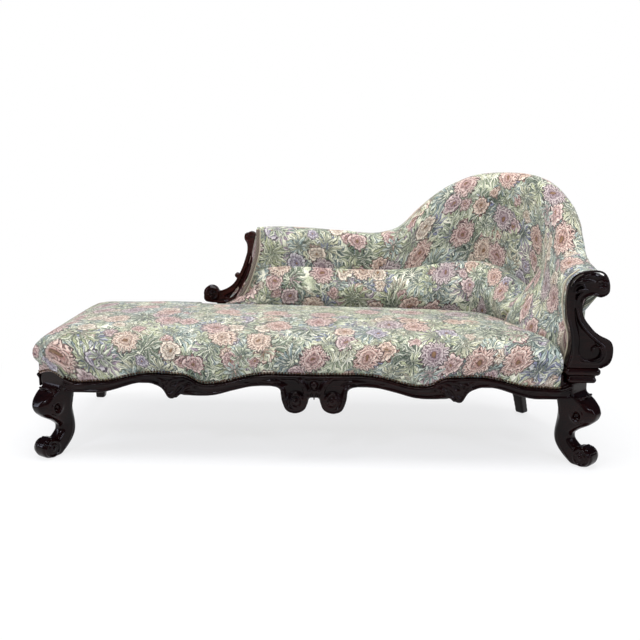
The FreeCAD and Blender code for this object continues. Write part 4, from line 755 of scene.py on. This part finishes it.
def seat_mesh():
    rings = []
    rise = CROWN - RAIL_TOP
    for share, free, hidden, back_side in SEAT_PROFILE:
        plan = seat_ring(free, hidden, back_side, 0.25 + 0.75 * min(1.0, share / 0.6))
        rings.append(np.column_stack([plan, np.full(len(plan), RAIL_TOP + share * rise)]))
    lowest = rings[0]
    skirt = []
    feet = np.array([trim_height(p[:2]) for p in lowest])
    for share in (1.0, 0.66, 0.33):
        skirt.append(np.column_stack([lowest[:, :2], RAIL_TOP + (feet - RAIL_TOP) * share]))
    rings = skirt + rings
    crown = rings[-1]
    for k in range(1, 16):
        t = k / 15.0
        ends = np.clip(crown[:, 0], -560.0, 330.0)
        target = np.column_stack([ends, np.interp(ends, [-560.0, -330.0], [320.0, 235.0])])
        plan = crown[:, :2] + (target - crown[:, :2]) * t
        rings.append(np.column_stack([plan, np.full(len(plan), CROWN + 7.0 * math.sin(t * math.pi / 2))]))
    rings = np.array(rings)
    first = rings.shape[0] - 16
    out = rings[3, :, :2] - rings[first, :, :2]
    out /= np.linalg.norm(out, axis=1)[:, None]
    uv = rings[:, :, :2].copy()
    length = 0.0
    for i in range(first - 1, -1, -1):
        length = length + np.linalg.norm(rings[i] - rings[i + 1], axis=1)
        uv[i] = rings[first, :, :2] + out * length[:, None]
    count = rings.shape[1]
    hollow = np.exp(-((rings[:, :, 0] + 350) / 420.0) ** 2 - ((rings[:, :, 1] - 250) / 190.0) ** 2)
    soft = (np.sin(rings[:, :, 0] / 71.0) * np.sin(rings[:, :, 1] / 58.0 + 1.0)
            + 0.6 * np.sin(rings[:, :, 0] / 37.0 + 2) * np.sin(rings[:, :, 1] / 33.0))
    top = np.clip((rings[:, :, 2] - 380.0) / 30.0, 0, 1)
    rings[:, :, 2] += top * (1.1 * soft + 3.0 * hollow)
    return add_object("seat_upholstery", at(rings.reshape(-1, 3)), grid_faces(len(rings), count, wrap=True),
                      uv.reshape(-1, 2) / 1000.0)


seat = seat_mesh()
thickened(outward(seat, (-100, 250, 330)), 2.5)
finished(seat, TAPESTRY, ("seat_cover", "seat_stuffing", "spring_hessian"))


# Carved wood

def on_face(points, y):
    p = np.asarray(points, float)
    return np.column_stack([p[:, 0], np.full(len(p), float(y)), p[:, 1]])


def mirrored(detail):
    points, faces = detail
    return points * np.array([-1.0, 1.0, 1.0]), [tuple(reversed(f)) for f in faces]


def bead(points, y, radii, step=4.0, closed=False):
    """A raised bead along a smooth line on the face at y."""
    return tube(smooth_line(on_face(points, y), step, closed), radii, 8)


def leaf(start, bend, end, y, width, thick=6.0):
    """A pointed lobe that swells and narrows again along a curve."""
    line = smooth_line(on_face([start, bend, end], y), 3.0)
    return tube(line, [width * 0.35, width, width * 0.8, width * 0.45, 1.2], 10, thick / width)


def rail_details():
    half = []

    def along(first, count, height, y):
        x = np.linspace(first, 822, count)
        return on_face(np.column_stack([x, height(x)]), y)

    half.append(tube(along(90, 150, lambda x: spline(LOWER, x) + 6.0, -BAND - 1), [5.0], 10, 0.9))
    half.append(tube(along(90, 150, lambda x: 0.5 * (spline(LOWER, x) + spline(TRIM, x)) - 1.0, -BAND + 1),
                     [5.5], 10, 0.8))
    half.append(tube(along(0, 160, lambda x: spline(TRIM, x) - 7.5, -BAND - 3.5), [4.6], 10, 0.9))
    c_line = smooth_line([(104, 240), (96, 196), (84, 172), (60, 165), (36, 176), (28, 205), (30, 240),
                          (48, 264)], 4.0)
    for shift in (-4.5, 4.5):
        centre = np.array([62.0, 210.0])
        outwards = c_line - centre
        outwards /= np.linalg.norm(outwards, axis=1)[:, None]
        half.append(tube(on_face(c_line + outwards * shift, -20), [2.0, 4.0, 4.0, 2.6], 8))
    half.append(tube(spiral((60.0, -21.0, 196.0), 27.0, 6.0, 1.6, 1.2, 1), [5.0, 4.6, 3.4], 8))
    half.append(ball((60.0, -22.0, 196.0), (7.0, 7.0, 7.0)))
    for start, bend, end, width in (
            ((400, 262), (440, 250), (466, 206), 9), ((425, 268), (468, 258), (482, 222), 8),
            ((390, 250), (420, 236), (452, 200), 7), ((478, 262), (500, 250), (492, 226), 6),
            ((352, 238), (392, 246), (428, 226), 6), ((520, 268), (498, 262), (484, 240), 5),
            ((110, 262), (135, 262), (170, 262), 6), ((104, 250), (122, 248), (150, 252), 5)):
        half.append(leaf(start, bend, end, -BAND - 3, width))
    half.append(tube(spiral((462.0, -BAND - 3.0, 208.0), 9.0, 2.0, 1.2, 2.0, -1), [3.0, 2.0], 8))
    for x in (240, 590, 780):
        low, high = float(spline(LOWER, x)), float(spline(TRIM, x))
        half.append(leaf((x - 34, 0.6 * high + 0.4 * low), (x, 0.5 * (low + high) + 2),
                         (x + 34, 0.6 * low + 0.4 * high), -BAND - 1, 4.5))
    details = half + [mirrored(d) for d in half]
    details.append(ball((0.0, -20.0, 253.0), (12.0, 11.0, 12.0)))
    details.append(leaf((0, 244), (0, 226), (0, 200), -16, 9))
    details.append(leaf((-5, 240), (-16, 226), (-12, 208), -14, 5))
    details.append(leaf((5, 240), (16, 226), (12, 208), -14, 5))
    return details


front_rail = carved("carved_front_rail", "front_rail", 0.0026, rail_details(), 4, 1)
finished(front_rail, MAHOGANY, ("front_rail",))


def leg_place(side):
    """Turn and place of a leg drawn along +x."""
    if side > 0:
        return math.radians(315.0), np.array([HALF - 57.0, 57.0, 0.0])
    along, across = FOOT_CANT
    out = -np.array([across, along]) / math.hypot(along, across)
    middle = np.array([FOOT_FACE + along / 2, across / 2]) - out * 36.0
    return math.pi + math.atan2(along, across), np.array([middle[0], middle[1], 0.0])


def placed(detail, side):
    points, faces = detail
    turn, place = leg_place(side)
    c, s = math.cos(turn), math.sin(turn)
    x, y, z = points.T
    moved = np.column_stack([x * c - y * s, x * s + y * c, z])
    return moved + place, faces


def cheek_hollows(side):
    """Hollows inside the scrolls on both cheeks of a leg's knee."""
    def sink(p):
        turn, place = leg_place(side)
        c, s = math.cos(turn), math.sin(turn)
        moved = p - place
        x = moved[:, 0] * c + moved[:, 1] * s
        y = -moved[:, 0] * s + moved[:, 1] * c
        away = np.hypot(x - KNEE[0], p[:, 2] - KNEE[1])
        share = np.clip(1.25 - away / 17.0, 0, 1)
        y = np.where(np.abs(y) > 20.0, y - np.sign(y) * 13.0 * share**2 * (3 - 2 * share), y)
        p[:, 0] = x * c - y * s + place[0]
        p[:, 1] = x * s + y * c + place[1]
        return p
    return sink


def leg_details(side):
    details = []
    for hand in (-1, 1):
        cheek = hand * 38.0
        curl = spiral((KNEE[0], cheek, KNEE[1]), 29.0, 13.0, 0.95, 1.9, -1)
        details.append(tube(curl, [3.0, 7.0, 7.0, 5.5, 4.5], 12))
        details.append(ball((KNEE[0] + 3.0, hand * 35.0, KNEE[1] - 12.0), (8.0, 8.0, 8.0)))
        edge = smooth_line([(-20, hand * 38, 196), (-14, hand * 37, 170), (-10, hand * 31, 130),
                            (-14, hand * 26, 96), (-14, hand * 25, 60), (2, hand * 26, 30),
                            (26, hand * 27, 2)], 5.0)
        details.append(tube(edge, [2.0, 3.5, 3.0, 2.5], 8))
        details.append(tube(ring((TOE[0], hand * 29.0, TOE[1]), 26.0), [4.2], 8))
        details.append(tube(ring((TOE[0], hand * 30.0, TOE[1]), 14.5), [3.4], 8))
        details.append(ball((TOE[0], hand * 32.0, TOE[1]), (7.5, 6.0, 7.5)))
    for turn in (0.6, 1.1, 1.6, 2.1):
        x, z = TOE[0] + 33.0 * math.cos(turn), TOE[1] + 33.0 * math.sin(turn)
        over = [(x, y, z) for y in (-24, -8, 8, 24)]
        details.append(tube(smooth_line(over, 4.0), [2.4, 3.4, 2.4], 8))
    brow = smooth_line([(34, -39, 212), (58, -34, 218), (64, 0, 221), (58, 34, 218), (34, 39, 212)], 5.0)
    details.append(tube(brow, [2.0, 4.0, 4.5, 4.0, 2.0], 8))
    return [placed(d, side) for d in details]


for side, name, node in ((-1, "carved_left_leg", "front_left_leg"),
                         (1, "carved_right_leg", "front_right_leg")):
    leg = carved(name, node, 0.0022, leg_details(side), 45, 2, [cheek_hollows(side)])
    finished(leg, MAHOGANY, (node,))

collar = carved("turned_collar", "arm_post_collar", 0.0022, [], 4, 2)
finished(collar, MAHOGANY, ("arm_post_collar",))

POST_OUTER = [(-88, 322), (-77, 360), (-80, 420), (-99, 500), (-101, 560), (-88, 610), (-47, 629), (5, 624),
              (22, 590), (20, 562), (2, 552), (-27, 558), (-52, 545), (-55, 500), (-38, 460), (0, 428),
              (42, 402), (48, 370), (38, 336), (14, 322)]
POST_PANEL = [(-21, 338), (-50, 344), (-60, 370), (-60, 410), (-78, 480), (-82, 540), (-74, 582), (-58, 588),
              (-52, 572), (-70, 548), (-66, 490), (-40, 445), (-5, 412), (22, 388), (26, 362), (14, 342)]


def post_details():
    def shifted(points):
        return [(HALF + x, z) for x, z in points]
    front = POST_FRONT
    c_scroll = [(-58, 372), (-44, 350), (-16, 342), (10, 350), (18, 372), (6, 390), (-10, 384), (-12, 370)]
    details = [
        bead(shifted(POST_OUTER), front, [3.6]),
        bead(shifted(POST_PANEL), front, [3.2], closed=True),
        bead(shifted(c_scroll), front + 2, [2.6, 5.0, 5.0, 4.0, 2.4], 3.0),
        tube(spiral((HALF + 6, front - 3, 580), 20.0, 4.0, 1.4, 2.4, -1), [4.5, 3.5, 2.5], 8),
        ball((HALF + 6, front - 5, 578), (8, 6, 8)),
    ]
    for start, bend, end, width in (((-62, 606), (-40, 618), (-12, 612), 6),
                                    ((-70, 596), (-44, 600), (-18, 596), 5),
                                    ((-76, 560), (-62, 572), (-40, 570), 5)):
        details.append(leaf(*shifted([start, bend, end]), front - 1, width))
    return details


post = carved("carved_arm_post", "arm_front_post", 0.0022, post_details(), 4, 1,
              [hollow([(HALF + x, z) for x, z in POST_PANEL], POST_FRONT, 7.0, 9.0)])
finished(post, MAHOGANY, ("arm_front_post",))


SCROLL_PANEL = [(-829, 640), (-834, 600), (-846, 560), (-872, 500), (-905, 447), (-942, 424), (-920, 416),
                (-888, 438), (-858, 490), (-836, 550), (-826, 600)]


def scroll_details():
    def shifted(points):
        return [(CORNER_X + x, z) for x, z in points]
    front = SCROLL_FRONT
    outer = [(-849, 672), (-852, 655), (-843, 636), (-842, 600), (-852, 566), (-871, 520), (-903, 470),
             (-948, 446), (-985, 443), (-1010, 432)]
    inner = [(-813, 672), (-815, 610), (-833, 542), (-863, 466), (-896, 418), (-938, 402), (-985, 404)]
    details = [
        bead(shifted(outer), front, [3.4]),
        bead(shifted(inner), front, [3.4]),
        bead(shifted(SCROLL_PANEL), front + 1, [2.4], 3.0, closed=True),
        tube(spiral((CORNER_X - 989, front - 6, 437), 28.0, 5.0, 1.6, -0.9, 1), [4.5, 3.8, 2.6], 8),
        ball((CORNER_X - 989, front - 7, 437), (7, 6, 7)),
        tube(spiral((CORNER_X - 887, front, 508), 9.0, 3.0, 1.0, 0.5, -1), [3.0, 2.0], 8),
        tube(spiral((CORNER_X - 838, front, 664), 12.0, 3.0, 1.1, 1.8, 1), [3.4, 2.2], 8),
    ]
    return details


end_scroll = carved("carved_end_scroll", "back_end_scroll", 0.0022, scroll_details(), 4, 1,
                    [hollow([(CORNER_X + x, z) for x, z in SCROLL_PANEL], SCROLL_FRONT, 6.0, 6.0)])
finished(end_scroll, WARM_MAHOGANY, ("back_end_scroll",))

for name in ("foot_rail", "back_rail", "corner_rail", "head_rail", "back_left_leg", "back_right_leg"):
    piece = carved("polished_" + name, name, 0.0035, [], 2, 1)
    finished(piece, MAHOGANY, (name,))


# Nails, braid, cords and the cloth under the seat

def stud_tree():
    """Geometry nodes that set a domed nail every few millimetres of a line."""
    tree = bpy.data.node_groups.new("nails", "GeometryNodeTree")
    tree.interface.new_socket("Geometry", in_out="INPUT", socket_type="NodeSocketGeometry")
    pitch = tree.interface.new_socket("Pitch", in_out="INPUT", socket_type="NodeSocketFloat")
    radius = tree.interface.new_socket("Radius", in_out="INPUT", socket_type="NodeSocketFloat")
    tree.interface.new_socket("Geometry", in_out="OUTPUT", socket_type="NodeSocketGeometry")
    given = add(tree, "NodeGroupInput").outputs
    curve = add(tree, "GeometryNodeMeshToCurve", {"Mesh": given["Geometry"]})
    points = add(tree, "GeometryNodeCurveToPoints", {"Curve": curve.outputs[0], "Length": given["Pitch"]},
                 mode="LENGTH")
    head = add(tree, "GeometryNodeMeshIcoSphere", {"Radius": given["Radius"], "Subdivisions": 2})
    spread = add(tree, "FunctionNodeRandomValue", data_type="FLOAT")
    floats = [s for s in spread.inputs if s.type == "VALUE"]
    floats[0].default_value, floats[1].default_value = 0.92, 1.06
    spread.inputs["Seed"].default_value = 11
    size = [s for s in spread.outputs if s.type == "VALUE"][0]
    heads = add(tree, "GeometryNodeInstanceOnPoints", {
        "Points": points.outputs[0], "Instance": head.outputs[0], "Scale": size})
    real = add(tree, "GeometryNodeRealizeInstances", {"Geometry": heads.outputs[0]})
    dressed = add(tree, "GeometryNodeSetMaterial", {"Geometry": real.outputs[0], "Material": STUDS})
    add(tree, "NodeGroupOutput", {"Geometry": dressed.outputs[0]})
    return tree, pitch.identifier, radius.identifier


NAILS, PITCH_ID, RADIUS_ID = stud_tree()


def nails(name, line, pitch=9.7, radius=3.6):
    obj = add_object(name, at(line), [], edges=[(i, i + 1) for i in range(len(line) - 1)])
    nodes = obj.modifiers.new("nails", "NODES")
    nodes.node_group = NAILS
    nodes[PITCH_ID] = pitch / 1000.0
    nodes[RADIUS_ID] = radius / 1000.0
    baked(obj)
    shade_smooth(obj)
    return finished(obj, STUDS)


front_x = np.linspace(-818, 789, 400)
nails("front_nails", np.column_stack([front_x, np.full(400, -5.0), spline(TRIM, np.abs(front_x)) + 4.5]))
share = np.linspace(0.02, 0.98, 40)
nails("corner_nails", np.column_stack([
    FOOT_FACE + FOOT_CANT[0] * (1 - share) - 2.5, FOOT_CANT[1] * share - 4.0,
    263.5 + 15.0 * np.sin(math.pi * share)]))
foot_y = np.linspace(58, 590, 150)
nails("foot_nails", np.column_stack([np.full(150, FOOT_FACE - 5.0), foot_y,
                                     spline(FOOT_TRIM, foot_y) + 4.5]))


def ribbon(name, line, across, width, height, stuff):
    """A flat braid along a line; across is the direction of its width."""
    p = np.asarray(line, float)
    side = np.asarray(across, float)
    out = np.array([0.0, -1.0, 0.0])
    offsets = [(-0.5, 0.0), (-0.42, 0.8), (0.0, 1.0), (0.42, 0.8), (0.5, 0.0)]
    rows = [p + side * width * a + out * height * b for a, b in offsets]
    vertices = np.stack(rows, 1).reshape(-1, 3)
    length = lengths(p)
    uv = np.array([(l, width * a) for l in length for a, _ in offsets]) / 1000.0
    obj = add_object(name, at(vertices), grid_faces(len(p), len(offsets)), uv)
    thickened(obj, 1.0)
    return finished(obj, stuff)


edge = smooth_line([(-808, 690), (-809, 650), (-811, 610), (-829, 540), (-859, 462), (-893, 414),
                    (-925, 402)], 4.0)
edge_line = on_face(edge + np.array([CORNER_X + 8.0, 0.0]), SCROLL_FRONT - 12.0)
ribbon("scroll_braid", edge_line, (1.0, 0.0, 0.15), 12.0, 2.0, BRAID)


def cord_piece(name, line, radius, stuff):
    points, faces = tube(line, [radius], 8)
    obj = add_object(name, at(points), faces)
    shade_smooth(obj)
    return finished(obj, stuff)


cord_piece("scroll_cord", edge_line + np.array([9.0, -1.0, 1.0]), 1.8, CORD)
welt = smooth_line([(HALF - 92, 0, 322), (HALF - 80, 0, 400), (HALF - 103, 0, 495), (HALF - 105, 0, 560),
                    (HALF - 96, 0, 598), (HALF - 60, 0, 630)], 5.0)
welt[:, 1] = POST_FRONT + 46.0
cord_piece("arm_welt", welt, 3.0, CORD)

cloth = linked("black_bottom_cloth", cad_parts["bottom_cloth"].data.copy())
finished(cloth, BLACK_CLOTH, ("bottom_cloth",))

for name, stuff in NODE_MATERIALS.items():
    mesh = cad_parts[name].data
    mesh.materials.clear()
    mesh.materials.append(stuff)


# Studio

def area_light(name, place, target, size, power, colour="FFFFFF"):
    data = bpy.data.lights.new(name, "AREA")
    data.shape = "RECTANGLE"
    data.size, data.size_y = size
    data.energy = power
    data.color = linear(colour)[:3]
    obj = linked(name, data)
    obj.location = place
    obj.rotation_euler = (Vector(target) - Vector(place)).to_track_quat("-Z", "Y").to_euler()


area_light("top_box", (0.1, -0.2, 2.9), (0, 0, 0.4), (2.6, 1.6), 100.0)
area_light("front_box", (-1.4, -3.4, 1.9), (0, 0, 0.4), (2.2, 1.4), 7.0)
area_light("right_strip", (3.0, -1.6, 1.3), (0.5, 0, 0.4), (0.4, 1.8), 20.0, "E6EAFF")
area_light("left_strip", (-3.0, -0.8, 1.2), (-0.6, 0, 0.3), (0.4, 1.8), 18.0, "E6EAFF")
area_light("rear_box", (0.3, 3.0, 2.2), (0, 0, 0.5), (2.4, 1.4), 18.0)

area_light("left_spark", (-1.5, -2.4, 2.2), (-0.3, -0.3, 0.3), (0.3, 0.3), 15.0, "EDEFFF")
area_light("right_spark", (2.0, -2.2, 1.7), (0.6, -0.3, 0.3), (0.3, 0.3), 13.0, "EDEFFF")
area_light("rear_spark", (-0.8, 2.4, 1.9), (0, 0.3, 0.4), (0.3, 0.3), 10.0, "EDEFFF")

world = bpy.data.worlds.new("studio")
bpy.context.scene.world = world
world.use_nodes = True
sky = world.node_tree
background = sky.nodes["Background"]
rays = add(sky, "LightPath").outputs
shade = mixed(sky, rays["Is Glossy Ray"], (0.37, 0.38, 0.40, 1.0), (0.06, 0.06, 0.08, 1.0))
sky.links.new(mixed(sky, rays["Is Camera Ray"], shade, (1.0, 1.0, 1.0, 1.0)), background.inputs["Color"])
background.inputs["Strength"].default_value = 1.0

floor = add_object("floor", [(-30, -30, -0.0006), (30, -30, -0.0006), (30, 30, -0.0006), (-30, 30, -0.0006)],
                   [(0, 1, 2, 3)])
made, tree, shader = material("white_floor", 0.9)
shader.inputs["Base Color"].default_value = (0.9, 0.9, 0.9, 1.0)
rays = add(tree, "LightPath").outputs
seen = maths(tree, "MAXIMUM", rays["Is Camera Ray"], maths(tree, "MAXIMUM", rays["Is Glossy Ray"],
                                                          rays["Is Transmission Ray"]))
glow = add(tree, "Emission", {"Color": (1.0, 1.0, 1.0, 1.0), "Strength": 1.0})
place = add(tree, "TexCoord").outputs["Object"]
distance = add(tree, "VectorMath", {0: place}, operation="LENGTH").outputs["Value"]
share = add(tree, "MapRange", {"Value": distance, "From Min": 0.7, "From Max": 1.7, "To Min": 0.72,
                                         "To Max": 1.0}).outputs[0]
blend = add(tree, "MixShader", {0: maths(tree, "MULTIPLY", seen, share), 1: shader.outputs[0],
                                          2: glow.outputs[0]})
tree.links.new(blend.outputs[0], tree.nodes["Material Output"].inputs["Surface"])
floor.data.materials.append(made)

bpy.context.scene.view_settings.view_transform = "Standard"

# Camera, fitted to the photograph
yaw, pitch, roll = -0.0427156, -0.2143970, 0.0022662
forward = np.array([math.sin(yaw) * math.cos(pitch), math.cos(yaw) * math.cos(pitch), math.sin(pitch)])
right = np.array([math.cos(yaw), -math.sin(yaw), 0.0])
up = np.cross(right, forward)
right, up = (right * math.cos(roll) + up * math.sin(roll), up * math.cos(roll) - right * math.sin(roll))
camera_data = bpy.data.cameras.new("camera")
camera_data.sensor_width = 36.0
camera_data.lens = 46.04
camera = linked("camera", camera_data)
turned = Matrix(np.column_stack([right, up, -forward]).tolist()).to_4x4()
camera.matrix_world = Matrix.Translation(Vector(at((127.2, -2550.0, 1020.0)))) @ turned
bpy.context.scene.camera = camera
